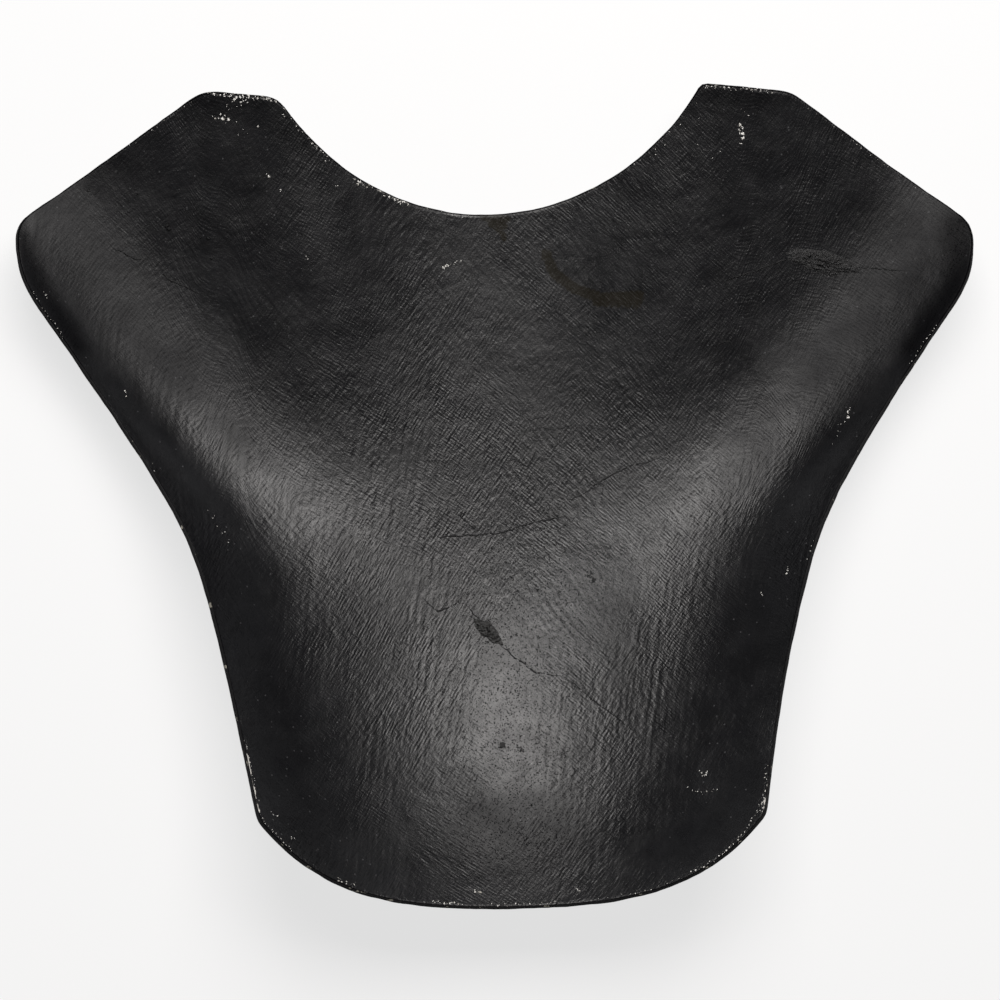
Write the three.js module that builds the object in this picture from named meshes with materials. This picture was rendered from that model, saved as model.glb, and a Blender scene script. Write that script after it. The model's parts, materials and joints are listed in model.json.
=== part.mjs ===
// Fuel tank cover of a motorcycle: one moulded shell of glass and carbon laminate that is bonded over the
// rear shoulders of the tank. It has a seat end with steep side walls, a waist for the knees, two wings
// that spread over the shoulders, and a round notch for the filler cap. Millimetres, +Z up.
// It lies on its convex back. +X runs across the tank, +Y from the seat to the filler cap, and +Z points
// out of the hollow that takes the tank.
import * as THREE from 'three';

// Trimmed outline, seen from above. Places along Y count from the middle of the seat edge.
const LENGTH = 336.5; // to the front cuts of the wings
const WING_SPAN = 400; // across the wing tips
const TIP_LAND = 21.5; // length of each tip between its two rounded corners
const TIP_REAR_RADIUS = 45;
const TIP_FRONT_RADIUS = 14;
const LEADING_SWEEP = THREE.MathUtils.degToRad(35.3); // slant of the leading edges
const FRONT_CUT = 35; // short cut between a leading edge and the notch
const FRONT_SKEW = THREE.MathUtils.degToRad(-5); // both short cuts run slightly askew
const FRONT_CORNER_RADIUS = 16;
const NOTCH_RADIUS = 103;
const NOTCH_OFFSET = -5; // the notch is cut a little to one side
const BRIDGE = 286.5; // to the deepest point of the notch
const WAIST_WIDTH = 260;
const WAIST_Y = 152;
const WAIST_BLEND = 25; // how gently the lower side turns into the upper one
const SEAT_WIDTH = 204; // across the seat corners
const SEAT_BOW = 14; // depth of the seat edge's gentle curve
const SEAT_TURN = 24; // added depth where that edge steepens to its corners
const SEAT_CORNER_RADIUS = 16;

// Form of the moulded face
const LAMINATE = 2; // wall thickness
const SEAT_RISE = 63; // the seat edge's middle over the lowest line of the crown
const SEAT_RISE_POWER = 4.7; // how late the crown line turns up to the seat
const FRONT_RISE = 11; // the crown line's lift towards the filler cap
const FRONT_RISE_POWER = 6;
const FORM_LENGTH = 350; // mould length over which both rises are measured
const WALL_RISE = 41.5; // side walls over the crown line, at the seat end
const WALL_END = 151; // where the walls give way to the wings
const WALL_FADE = 24;
const WING_FALL = 23; // fall of the wings towards their tips
const CURL_RISE = 33.5; // upturned margin along the upper sides
const CURL_POWER = 6.7; // how narrow that margin is
const CURL_START = 125.5;
const CURL_FADE = 17;
const SHOULDER_RISE = 23.5; // step from the middle panel up to the wings
const SHOULDER_START = 203.5;
const SHOULDER_FADE = 47;
const PANEL_HALF_WIDTH = 50; // middle panel, where the shoulders start
const PANEL_SPREAD = 0.075; // growth of that half width for each millimetre forward
const SHOULDER_SOFTNESS = 31.5;
const REST_TILT = THREE.MathUtils.degToRad(3.8); // lift of the front in which the shell lies balanced

// Facets
const CORNER_CUTS = 2;
const LEADING_CUTS = 7;
const FRONT_CUTS = 3;
const NOTCH_CUTS = 22;
const SIDE_CUTS = 34;
const TIP_CUTS = 3;

const PAINTED_LAMINATE = new THREE.MeshStandardMaterial({ color: 0x19191b, roughness: 0.5, metalness: 0 });

const point = (x, y) => new THREE.Vector2(x, y);
const halfway = (a, b) => a.clone().lerp(b, 0.5);

// Even steps along a straight cut. The end is left to the piece of outline that follows.
function straight(from, to, cuts) {
  return Array.from({ length: cuts }, (_, i) => from.clone().lerp(to, i / cuts));
}

// Arc that rounds a corner, from its leg to `before` to its leg to `after`. The legs limit its radius.
function fillet(before, corner, after, wantedRadius) {
  const back = before.clone().sub(corner);
  const ahead = after.clone().sub(corner);
  const halfAngle = back.angleTo(ahead) / 2;
  const setback = Math.min(wantedRadius / Math.tan(halfAngle), back.length(), ahead.length());
  const radius = setback * Math.tan(halfAngle);
  back.normalize();
  ahead.normalize();
  const centre = back.clone().add(ahead).setLength(radius / Math.sin(halfAngle)).add(corner);
  const start = back.multiplyScalar(setback).add(corner).sub(centre).angle();
  const end = ahead.multiplyScalar(setback).add(corner).sub(centre).angle();
  const turn = THREE.MathUtils.euclideanModulo(end - start + Math.PI, 2 * Math.PI) - Math.PI;
  return { centre, radius, start, end: start + turn };
}

function arcPoints({ centre, radius, start, end }, cuts) {
  return Array.from({ length: cuts + 1 }, (_, i) => {
    const angle = THREE.MathUtils.lerp(start, end, i / cuts);
    return point(centre.x + radius * Math.cos(angle), centre.y + radius * Math.sin(angle));
  });
}

// Corners of the outline on the +X side, which the -X side mirrors, and the notch's centre.
const notchCentre = point(NOTCH_OFFSET, BRIDGE + NOTCH_RADIUS);
const notchHalfWidth = Math.sqrt(NOTCH_RADIUS ** 2 - (notchCentre.y - LENGTH) ** 2);
const frontCorner = point(notchHalfWidth + FRONT_CUT, LENGTH);
const tipFront = point(WING_SPAN / 2, LENGTH - (WING_SPAN / 2 - frontCorner.x) * Math.tan(LEADING_SWEEP));
const tipRear = point(WING_SPAN / 2, tipFront.y - TIP_LAND);
const seatCorner = point(SEAT_WIDTH / 2, SEAT_BOW + SEAT_TURN);

// Each side is one hyperbola through the seat corner, the waist and the rear of the tip.
const bend = (y) => Math.hypot(y - WAIST_Y, WAIST_BLEND) - WAIST_BLEND;
const seatRun = seatCorner.y - WAIST_Y;
const tipRun = tipRear.y - WAIST_Y;
const seatGain = (SEAT_WIDTH - WAIST_WIDTH) / 2;
const tipGain = (WING_SPAN - WAIST_WIDTH) / 2;
const spread = seatRun * bend(tipRear.y) - tipRun * bend(seatCorner.y);
const sideSlope = (seatGain * bend(tipRear.y) - tipGain * bend(seatCorner.y)) / spread;
const sideBend = (seatRun * tipGain - tipRun * seatGain) / spread;
const sideAt = (y) => WAIST_WIDTH / 2 + sideSlope * (y - WAIST_Y) + sideBend * bend(y);

// Seat edge: shallow in the middle, steeper towards its corners, and rounded into the sides.
const seatCurve = (x) => SEAT_BOW * (x / seatCorner.x) ** 2 + SEAT_TURN * (x / seatCorner.x) ** 4;
const legX = seatCorner.x - SEAT_CORNER_RADIUS / 2;
const legY = seatCorner.y + SEAT_CORNER_RADIUS;
const seatLeg = point(legX, seatCurve(legX));
const sideLeg = point(sideAt(legY), legY);
const seatRound = fillet(seatLeg, seatCorner, sideLeg, SEAT_CORNER_RADIUS);
const seatCorners = arcPoints(seatRound, 2 * CORNER_CUTS);

function seatEdge(x) {
  const inCorner = Math.abs(x) - seatRound.centre.x;
  const inArc = Math.abs(x) > seatCorners[0].x;
  return inArc ? seatRound.centre.y - Math.sqrt(seatRound.radius ** 2 - inCorner ** 2) : seatCurve(x);
}

// One half of the outline: its side, from the seat corner to the middle of the tip's front corner, and its
// front, from there to the notch.
function halfOutline(hand) {
  const place = (p) => point(hand * p.x, p.y);
  const outer = place(frontCorner);
  const inward = point(-hand * Math.cos(FRONT_SKEW), -hand * Math.sin(FRONT_SKEW));
  const fromNotch = outer.clone().sub(notchCentre);
  const along = inward.dot(fromNotch);
  const cut = -along - Math.sqrt(along ** 2 - fromNotch.lengthSq() + NOTCH_RADIUS ** 2);
  const notchCorner = outer.clone().addScaledVector(inward, cut);

  const front = place(tipFront);
  const rear = place(tipRear);
  const tipRound = fillet(halfway(front, rear), front, halfway(front, outer), TIP_FRONT_RADIUS);
  const tip = arcPoints(tipRound, 2 * CORNER_CUTS);
  const flankY = (WAIST_Y + tipRear.y) / 2;
  const flank = place(point(sideAt(flankY), flankY));
  const heel = arcPoints(fillet(flank, rear, tip[0], TIP_REAR_RADIUS), TIP_CUTS);
  const noseRound = fillet(halfway(front, outer), outer, halfway(outer, notchCorner), FRONT_CORNER_RADIUS);
  const nose = arcPoints(noseRound, CORNER_CUTS);

  const seatCornerHalf = seatCorners.slice(CORNER_CUTS, -1).map(place);
  const sideY = straight(seatCorners.at(-1), heel[0], SIDE_CUTS).map((p) => p.y);
  const side = sideY.map((y) => place(point(sideAt(y), y)));
  return {
    side: [...seatCornerHalf, ...side, ...heel.slice(0, -1), ...tip.slice(0, CORNER_CUTS + 1)],
    front: [
      ...tip.slice(CORNER_CUTS, -1),
      ...straight(tip.at(-1), nose[0], LEADING_CUTS),
      ...nose.slice(0, -1),
      ...straight(nose.at(-1), notchCorner, FRONT_CUTS),
    ],
    notchCorner,
  };
}

const left = halfOutline(-1);
const right = halfOutline(1);
const notchAngle = (corner) => Math.atan2(corner.y - notchCentre.y, corner.x - notchCentre.x);
const notchArc = {
  centre: notchCentre,
  radius: NOTCH_RADIUS,
  start: notchAngle(left.notchCorner),
  end: notchAngle(right.notchCorner),
};
const notch = arcPoints(notchArc, NOTCH_CUTS);
const front = [...left.front, ...notch, ...right.front.reverse()];

// Shares of the width and of the length at which the shell's columns and rows lie.
const share = (value, low, high) => (value - low) / (high - low);
const columns = front.map((p) => share(p.x, front[0].x, front.at(-1).x));
const rows = left.side.map((p) => share(p.y, left.side[0].y, left.side.at(-1).y));
const seat = columns.map((u) => {
  const x = THREE.MathUtils.lerp(left.side[0].x, right.side[0].x, u);
  return point(x, seatEdge(x));
});

// Place of a column and a row inside the outline, blended from its four edges.
function planPoint(column, row) {
  const u = columns[column];
  const v = rows[row];
  const lengthwise = seat[column].clone().lerp(front[column], v);
  const crosswise = left.side[row].clone().lerp(right.side[row], u);
  const corners = seat[0].clone().lerp(seat.at(-1), u).lerp(front[0].clone().lerp(front.at(-1), u), v);
  return lengthwise.add(crosswise).sub(corners);
}

// Smooth change from 0 to 1 along Y.
const ramp = (y, middle, fade) => 1 / (1 + Math.exp((middle - y) / fade));

// Height of the inner face.
function moulded(x, y) {
  const reach = Math.abs(x) / sideAt(y);
  const crown = SEAT_RISE * Math.max(0, 1 - y / FORM_LENGTH) ** SEAT_RISE_POWER
    + FRONT_RISE * (y / FORM_LENGTH) ** FRONT_RISE_POWER;
  const wing = ramp(y, WALL_END, WALL_FADE);
  const walls = (WALL_RISE * (1 - wing) - WING_FALL * wing) * reach ** 2;
  const curl = CURL_RISE * ramp(y, CURL_START, CURL_FADE) * reach ** CURL_POWER;
  const panel = PANEL_HALF_WIDTH + PANEL_SPREAD * (y - SHOULDER_START);
  const outward = Math.tanh((Math.abs(x) - panel) / SHOULDER_SOFTNESS);
  const inward = Math.tanh(panel / SHOULDER_SOFTNESS);
  const shoulder = SHOULDER_RISE * ramp(y, SHOULDER_START, SHOULDER_FADE) * (outward + inward) / 2;
  return crown + walls + curl + shoulder;
}

function mouldedNormal(x, y) {
  const span = 0.1;
  const slopeX = (moulded(x + span, y) - moulded(x - span, y)) / (2 * span);
  const slopeY = (moulded(x, y + span) - moulded(x, y - span)) / (2 * span);
  return new THREE.Vector3(-slopeX, -slopeY, 1).normalize();
}

// The wall is a sheet of columns and rows, one laminate thick, pressed to the form.
function shellGeometry() {
  const across = columns.length - 1;
  const along = rows.length - 1;
  const geometry = new THREE.BoxGeometry(1, 1, 1, across, along, 1);
  const positions = geometry.attributes.position;
  for (let i = 0; i < positions.count; i++) {
    const column = Math.round((positions.getX(i) + 0.5) * across);
    const row = Math.round((positions.getY(i) + 0.5) * along);
    const depth = positions.getZ(i) < 0 ? LAMINATE : 0;
    const { x, y } = planPoint(column, row);
    const place = new THREE.Vector3(x, y, moulded(x, y)).addScaledVector(mouldedNormal(x, y), -depth);
    positions.setXYZ(i, place.x, place.y, place.z);
  }
  geometry.rotateX(REST_TILT);
  geometry.computeBoundingBox();
  const { min, max } = geometry.boundingBox;
  geometry.translate(-(min.x + max.x) / 2, -(min.y + max.y) / 2, -min.z);
  geometry.computeVertexNormals();
  return geometry;
}

const shell = new THREE.Mesh(shellGeometry(), PAINTED_LAMINATE);
shell.name = 'cover_shell';

const group = new THREE.Group();
group.add(shell);

export default group;
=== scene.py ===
"""Looks of the fuel tank cover: a moulded laminate shell that lies on its back and shows its hollow side.

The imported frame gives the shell's form and place. Here its faces get the waviness of hand-laid cloth, black
brushed paint over the weave, and the wear of an old mould: chipped paint that bares white glass, resin
creases, a rough resin patch, pinholes and stains. Metres, +Z up, the seat end towards -Y.
"""

import json
import logging
import math
from dataclasses import dataclass, field
from enum import Enum
from typing import Any, Iterable, Optional, Sequence, Union

import bmesh
import bpy
import numpy as np
from mathutils import Matrix, Vector, kdtree, noise
from mathutils.bvhtree import BVHTree

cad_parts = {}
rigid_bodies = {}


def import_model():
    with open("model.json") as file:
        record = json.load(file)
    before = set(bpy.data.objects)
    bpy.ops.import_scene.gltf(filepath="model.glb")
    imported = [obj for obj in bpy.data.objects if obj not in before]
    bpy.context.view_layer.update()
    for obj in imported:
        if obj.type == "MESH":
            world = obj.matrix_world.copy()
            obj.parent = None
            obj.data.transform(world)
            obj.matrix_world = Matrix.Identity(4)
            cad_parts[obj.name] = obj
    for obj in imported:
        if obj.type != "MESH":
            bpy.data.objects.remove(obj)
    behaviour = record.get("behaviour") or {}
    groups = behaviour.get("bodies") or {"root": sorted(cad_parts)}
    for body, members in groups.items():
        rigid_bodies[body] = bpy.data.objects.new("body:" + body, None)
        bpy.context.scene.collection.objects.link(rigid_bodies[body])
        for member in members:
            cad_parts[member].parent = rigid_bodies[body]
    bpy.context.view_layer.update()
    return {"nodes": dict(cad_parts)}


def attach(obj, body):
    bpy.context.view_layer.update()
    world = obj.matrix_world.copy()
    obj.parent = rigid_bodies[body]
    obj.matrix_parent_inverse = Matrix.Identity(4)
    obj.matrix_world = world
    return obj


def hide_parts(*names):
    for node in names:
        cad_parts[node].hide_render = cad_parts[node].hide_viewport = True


log = logging.getLogger("tank_cover")

Colour = tuple[float, float, float]
Pixel = tuple[float, float]
Spot = tuple[Vector, Vector]

BODY = "root"
NODE = "cover_shell"
CLOTH_MAP = "cloth"
MILLIMETRE = 0.001
LAMINATE = 2 * MILLIMETRE
HALF_HEIGHT = 30 * MILLIMETRE


class Face(Enum):
    """The three faces of the laminate, numbered as their material slots."""

    INNER = 0
    OUTER = 1
    RIM = 2


class Mark(Enum):
    """What is painted on the inner face's points, under the name that the paint's nodes read."""

    FROM_RIM = "from_rim"
    THROUGH = "through"
    STAIN = "stain"
    SMUDGE = "smudge"
    SMOOTH = "smooth"
    PITTED = "pitted"
    WORN = "worn"
    EASED = "eased"
    DULL = "dull"
    # Painted shade: a matt dark veil where the surface falls into shade, mostly on the wing flanks.
    SHADE_VEIL = "matt"


class Sock:
    """One output of a node, which takes part in sums as if it were a number."""

    def __init__(self, work: "NodeWork", out: bpy.types.NodeSocket) -> None:
        """Keeps the output and the tree it belongs to.

        Args:
            work: The tree in which the sum's nodes are added.
            out: The output socket.
        """
        self.work = work
        self.out = out

    def maths(self, operation: str, *values: Any) -> "Sock":
        """Adds one Math node.

        Args:
            operation: The Math node's operation.
            *values: Its operands in order, each a Sock or a number.

        Returns:
            The node's result.
        """
        return self.work.node("ShaderNodeMath", {"operation": operation}, dict(enumerate(values)))

    def __add__(self, other: Any) -> "Sock":
        """self + other."""
        return self.maths("ADD", self, other)

    def __radd__(self, other: Any) -> "Sock":
        """other + self."""
        return self.maths("ADD", other, self)

    def __sub__(self, other: Any) -> "Sock":
        """self - other."""
        return self.maths("SUBTRACT", self, other)

    def __rsub__(self, other: Any) -> "Sock":
        """other - self."""
        return self.maths("SUBTRACT", other, self)

    def __mul__(self, other: Any) -> "Sock":
        """self * other."""
        return self.maths("MULTIPLY", self, other)

    def __rmul__(self, other: Any) -> "Sock":
        """other * self."""
        return self.maths("MULTIPLY", other, self)

    def __truediv__(self, other: Any) -> "Sock":
        """self / other."""
        return self.maths("DIVIDE", self, other)

    def __rtruediv__(self, other: Any) -> "Sock":
        """other / self."""
        return self.maths("DIVIDE", other, self)

    def sine(self) -> "Sock":
        """Sine of self, an angle in radians."""
        return self.maths("SINE", self)

    def floor(self) -> "Sock":
        """The whole number below self."""
        return self.maths("FLOOR", self)

    def fraction(self) -> "Sock":
        """What self is above that whole number."""
        return self.maths("FRACT", self)

    def wrapped(self, top: float) -> "Sock":
        """Self, brought between 0 and top by whole tops."""
        return self.maths("WRAP", self, top, 0.0)

    def largest(self, other: Any) -> "Sock":
        """The larger of self and other."""
        return self.maths("MAXIMUM", self, other)

    def smallest(self, other: Any) -> "Sock":
        """The smaller of self and other."""
        return self.maths("MINIMUM", self, other)

    def step(self, low: float, high: float) -> "Sock":
        """Smooth change from 0 at low to 1 at high.

        Args:
            low: Value that gives 0. It may be the larger of the two.
            high: Value that gives 1.

        Returns:
            The share, never outside 0 to 1.
        """
        rises = low < high
        ends = {0: self, 1: min(low, high), 2: max(low, high), 3: float(not rises), 4: float(rises)}
        return self.work.node("ShaderNodeMapRange", {"interpolation_type": "SMOOTHSTEP"}, ends)


Feed = Union[Sock, float, int, bool, Sequence[float], bpy.types.ID]


class NodeWork:
    """Adds nodes to one tree, in the order in which they are made."""

    def __init__(self, tree: bpy.types.NodeTree) -> None:
        """Takes the tree that the nodes go into.

        Args:
            tree: A shader or geometry tree.
        """
        self.tree = tree

    def node(
        self,
        kind: str,
        settings: Optional[dict[str, Any]] = None,
        inputs: Optional[dict[Union[str, int], Feed]] = None,
        output: Union[str, int] = 0,
    ) -> Sock:
        """Adds one node.

        Args:
            kind: The node's type.
            settings: Its settings, which are made first. "stops" are a ramp's places and colours.
            inputs: Values or links of its sockets, by name or number.
            output: The output that is returned, by name or number.

        Returns:
            That output.
        """
        made = self.tree.nodes.new(kind)
        count = len(self.tree.nodes)
        made.location = (190 * (count % 24), -320 * (count // 24))
        for name, value in (settings or {}).items():
            setattr(made, name, value)
        for name, value in (inputs or {}).items():
            self.feed(made.inputs[name], value)
        return Sock(self, made.outputs[output])

    def feed(self, socket: bpy.types.NodeSocket, value: Feed) -> None:
        """Links a Sock to a socket, or sets the socket's value."""
        if isinstance(value, Sock):
            self.tree.links.new(value.out, socket)
        else:
            socket.default_value = value


class PaintWork(NodeWork):
    """The tree of one material, with a Principled shader on its output."""

    def __init__(self, name: str) -> None:
        """Makes the material.

        Args:
            name: The material's name.
        """
        self.material = bpy.data.materials.new(name)
        self.material.use_nodes = True
        super().__init__(self.material.node_tree)
        self.tree.nodes.clear()
        self.output = self.tree.nodes.new("ShaderNodeOutputMaterial")
        self.shader = self.tree.nodes.new("ShaderNodeBsdfPrincipled")
        self.tree.links.new(self.shader.outputs[0], self.output.inputs[0])

    def finish(self, sockets: dict[str, Feed]) -> bpy.types.Material:
        """Sets or links the shader's sockets.

        Args:
            sockets: Values or links by the names of the Principled shader's sockets.

        Returns:
            The finished material.
        """
        for name, value in sockets.items():
            self.feed(self.shader.inputs[name], value)
        return self.material

    def veil(self, share: Sock, colour: Feed) -> None:
        """Lays matt matter over the shader.

        Args:
            share: How much of the surface it hides.
            colour: Its colour.
        """
        sockets = {"Base Color": colour, "Roughness": 1.0, "Specular IOR Level": 0.0}
        matt = self.node("ShaderNodeBsdfPrincipled", inputs=sockets)
        shiny = Sock(self, self.shader.outputs[0])
        shown = self.node("ShaderNodeMixShader", inputs={0: share, 1: shiny, 2: matt})
        self.feed(self.output.inputs[0], shown)

    def place(self) -> Sock:
        """Object coordinates, in metres."""
        return self.node("ShaderNodeTexCoord", output="Object")

    def cloth(self) -> tuple[Sock, Sock]:
        """Coordinates along the cloth, across and lengthwise, in metres."""
        flat = self.node("ShaderNodeUVMap", {"uv_map": CLOTH_MAP})
        across = self.node("ShaderNodeSeparateXYZ", inputs={0: flat}, output=0)
        along = self.node("ShaderNodeSeparateXYZ", inputs={0: flat}, output=1)
        return across, along

    def mark(self, mark: Mark) -> Sock:
        """What is painted on the points under that mark."""
        return self.node("ShaderNodeAttribute", {"attribute_name": mark.value}, output="Fac")

    def cloud(self, where: Sock, size: float, detail: float = 2.0, offset: float = 0.0) -> Sock:
        """Soft noise between 0 and 1.

        Args:
            where: Coordinates in metres.
            size: Length of its patches, in metres.
            detail: How much finer noise is added.
            offset: Place along the noise's fourth axis, which gives another pattern.

        Returns:
            The noise's value.
        """
        settings = {"noise_dimensions": "4D"}
        sockets = {"Vector": where, "W": offset, "Scale": 1 / size, "Detail": detail, "Roughness": 0.55}
        return self.node("ShaderNodeTexNoise", settings, sockets)

    def bump(self, height: Sock, depth: float, normal: Optional[Sock] = None) -> Sock:
        """Relief of the surface.

        Args:
            height: Height between about 0 and 1.
            depth: What a height of 1 measures, in metres.
            normal: Relief that this one is added to.

        Returns:
            The new normal.
        """
        sockets: dict[Union[str, int], Feed] = {"Strength": 1.0, "Distance": depth, "Height": height}
        if normal is not None:
            sockets["Normal"] = normal
        return self.node("ShaderNodeBump", inputs=sockets)

    def mix(self, share: Sock, first: Feed, second: Feed) -> Sock:
        """Mixes two colours.

        Args:
            share: How much of the second one there is.
            first: Colour, or a Sock that gives one.
            second: Colour, or a Sock that gives one.

        Returns:
            The mixed colour.
        """
        ends = [c if isinstance(c, Sock) else (*c, 1.0) for c in (first, second)]
        return self.node(
            "ShaderNodeMix", {"data_type": "RGBA"}, {0: share, 6: ends[0], 7: ends[1]}, output=2
        )


@dataclass(frozen=True)
class Ridges:
    """Parallel ridges of threads or rovings in the cloth.

    Attributes:
        pitch: Distance from ridge to ridge, in metres.
        heading: Direction across the ridges, from the shell's width towards the filler, in degrees.
        weight: Share of the relief's height.
        patch: Size of the patches in which the ridges come and go, in metres.
        gap: Size of the small gaps in them, in metres.
        seed: Place in the noise that makes those patches.
    """

    pitch: float
    heading: float
    weight: float
    patch: float
    gap: float
    seed: float

    def height(self, work: PaintWork, across: Sock, along: Sock, where: Sock) -> Sock:
        """Builds the ridges' height.

        Args:
            work: The material's tree.
            across: Cloth coordinate across the shell.
            along: Cloth coordinate along the shell.
            where: Object coordinates, for the patches.

        Returns:
            A height between minus and plus the weight.
        """
        turn = math.radians(self.heading)
        aside = (across * math.cos(turn) + along * math.sin(turn)) / self.pitch
        ahead = (along * math.cos(turn) - across * math.sin(turn)) / self.pitch
        breaks = work.cloud(where, self.gap, 0.0, self.seed + 0.5)
        rows = (aside * (2 * math.pi) + breaks * 2.8).sine() * breaks.step(0.36, 0.62)
        stretched = {0: aside * 1.7, 1: ahead * 0.30, 2: self.seed * 7.0}
        thread = work.node("ShaderNodeCombineXYZ", inputs=stretched)
        strands = work.cloud(thread, 1.0, 1.0, self.seed) - 0.5
        present = work.cloud(where, self.patch, 0.0, self.seed).step(0.30, 0.62) * 0.8 + 0.2
        return (rows * 0.36 + strands * 2.6) * present * self.weight


@dataclass(frozen=True)
class PaintedCloth:
    """Black paint over the woven inner face, with pinholes, stains and worn margins.

    Attributes:
        paint: Colour of the paint.
        brown: Colour of the stains.
        glass: Colour of bare glass cloth where the paint has gone.
        lint: Colour of pale specks in the paint.
        gloss: Roughness of the paint at its smoothest.
        dullness: What the roughest patches add to it.
        pitting: What the grain adds to it.
        clouding: What overspray adds to it on the wings.
        dimming: Share of the paint's shine that the grain hides.
        valley_shading: Share of it that a matt dark veil hides in the weave's hollows, as painted shade.
        weave: Threads of the fine cloth, in two directions.
        prints: Rovings of the cloth beneath, which print through.
        weave_depth: Height of the fine weave.
        print_depth: Height of the print-through.
        grain: Size of the paint's grain.
        grain_depth: Height of the grain.
        swell: Size of the resin's uneven places.
        swell_depth: Their height.
        drift: How far the threads wander from a straight course.
        sway: Length of those wanderings.
        fray: Size of the noise that breaks up borders.
        dust: Size of the paler clouds in the paint's colour.
        patch: Size of the duller patches.
        pinhole: Spacing of the places where a pinhole may be.
        speck: Spacing of the places where a pale speck may be.
        worn_width: Width of the worn margin where it is worst.
        worn_clump: Size of the clumps in that margin.
    """

    paint: Colour = (0.0044, 0.0044, 0.0052)
    brown: Colour = (0.0118, 0.0100, 0.0070)
    glass: Colour = (0.62, 0.60, 0.56)
    lint: Colour = (0.055, 0.055, 0.058)
    gloss: float = 0.31
    dullness: float = 0.10
    pitting: float = 0.06
    clouding: float = 0.30
    dimming: float = 0.84
    valley_shading: float = 0.60
    weave: tuple[Ridges, ...] = (
        Ridges(0.00150, -33, 0.42, 0.030, 0.0036, 1.0),
        Ridges(0.00135, 52, 0.34, 0.030, 0.0032, 2.0),
    )
    prints: tuple[Ridges, ...] = (
        Ridges(0.00400, -9, 0.34, 0.050, 0.009, 3.0),
        Ridges(0.00330, 37, 0.20, 0.040, 0.007, 4.0),
        Ridges(0.00300, -45, 0.20, 0.034, 0.007, 5.0),
    )
    weave_depth: float = 0.00015
    print_depth: float = 0.00024
    grain: float = 0.00056
    grain_depth: float = 0.00010
    swell: float = 0.0055
    swell_depth: float = 0.00022
    drift: float = 0.003
    sway: float = 0.11
    fray: float = 0.0021
    dust: float = 0.012
    patch: float = 0.013
    pinhole: float = 0.0023
    speck: float = 0.0030
    worn_width: float = 0.0016
    worn_clump: float = 0.005

    def material(self) -> bpy.types.Material:
        """Builds the paint.

        Returns:
            The material of the inner face.
        """
        work = PaintWork("painted_cloth")
        where = work.place()
        across, along = work.cloth()
        across = across + work.cloud(where, self.sway, 0.0, 7.0) * self.drift
        along = along + work.cloud(where, self.sway, 0.0, 8.0) * self.drift
        smooth = work.mark(Mark.SMOOTH)
        pitted = work.mark(Mark.PITTED)
        fray = work.cloud(where, self.fray, 3.0, 12.0)
        grain = work.cloud(where, self.grain, 2.5, 9.0)
        smudge = (work.mark(Mark.SMUDGE) * 0.40 + grain * 0.5 + fray * 0.6).step(0.78, 0.90)
        pinhole = self.dots(work, where, self.pinhole, 0.35) * (pitted * 0.75 + 0.25)
        speck = self.dots(work, where, self.speck, 0.62)
        bare = self.bare(work, fray)

        woven = sum(r.height(work, across, along, where) for r in self.weave)
        printed = sum(r.height(work, across, along, where) for r in self.prints)
        stain = (work.mark(Mark.STAIN) + fray * 0.3).step(0.50, 0.72)
        dust = work.cloud(where, self.dust, 3.0, 14.0)

        colour = work.mix(dust.step(0.3, 0.75), self.paint, tuple(c * 1.5 for c in self.paint))
        colour = work.mix(stain, colour, self.brown)
        colour = work.mix(speck, colour, self.lint)
        colour = work.mix(bare, colour, self.glass)

        patchy = work.cloud(where, self.patch, 3.0, 15.0).step(0.3, 0.72)
        pits = grain.step(0.565, 0.61) * (pitted * 0.85 + 0.25)
        rough = patchy * self.dullness + self.gloss + pits * self.pitting
        rough = rough + bare * 0.2 + work.mark(Mark.DULL) * self.clouding - smooth * 0.06
        # Painted shade: a matt dark veil on the last millimetre by the rim, which hides the rounded edge's
        # sheen and draws its thin dark line.
        edge = work.mark(Mark.FROM_RIM).step(0.0009, 0.0003)
        # Painted shade: the weave's hollows get a share of the matt dark veil.
        valleys = woven.step(0.0, -0.34) * self.valley_shading * (pitted * 0.2 + 0.7) * (1 - smooth)
        # The veil gathers real pits, pinholes and smudges together with painted shade: the rim's last
        # millimetre, the weave's hollows and the shade patches.
        dull = (pits * self.dimming).largest(pinhole * 0.85).largest(smudge * 0.80).largest(edge * 0.9)
        dull = dull.largest(valleys) + work.mark(Mark.SHADE_VEIL)
        # The veil's colour, darker paint or the stains' brown, serves the real marks and the painted shade
        # alike.
        dirt = work.mix(stain, tuple(c * 0.6 for c in self.paint), self.brown)
        work.veil(dull.largest(stain * 0.55).smallest(1.0) * (1 - bare), dirt)

        calm = 1 - smooth * 0.9
        swell = work.cloud(where, self.swell, 2.0, 16.0)
        normal = work.bump(swell, self.swell_depth)
        normal = work.bump(printed * calm, self.print_depth, normal)
        normal = work.bump(woven * calm, self.weave_depth, normal)
        normal = work.bump(grain * (1 - smooth * 0.5), self.grain_depth, normal)
        return work.finish({"Base Color": colour, "Roughness": rough.smallest(0.95), "Normal": normal})

    @staticmethod
    def dots(work: PaintWork, where: Sock, spacing: float, rarity: float) -> Sock:
        """Small dots that are strewn at random.

        Args:
            work: The material's tree.
            where: Object coordinates.
            spacing: Typical distance between the places where a dot may be.
            rarity: Share of those places that stay empty.

        Returns:
            1 inside a dot and 0 elsewhere.
        """
        cell = {"voronoi_dimensions": "3D", "feature": "F1"}
        sockets: dict[Union[str, int], Feed] = {"Vector": where, "Scale": 1 / spacing, "Randomness": 1.0}
        distance = work.node("ShaderNodeTexVoronoi", cell, sockets)
        chance = Sock(work, distance.out.node.outputs["Color"])
        chosen = work.node("ShaderNodeSeparateXYZ", inputs={0: chance}).step(rarity, rarity + 0.03)
        return distance.step(0.15, 0.08) * chosen

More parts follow.
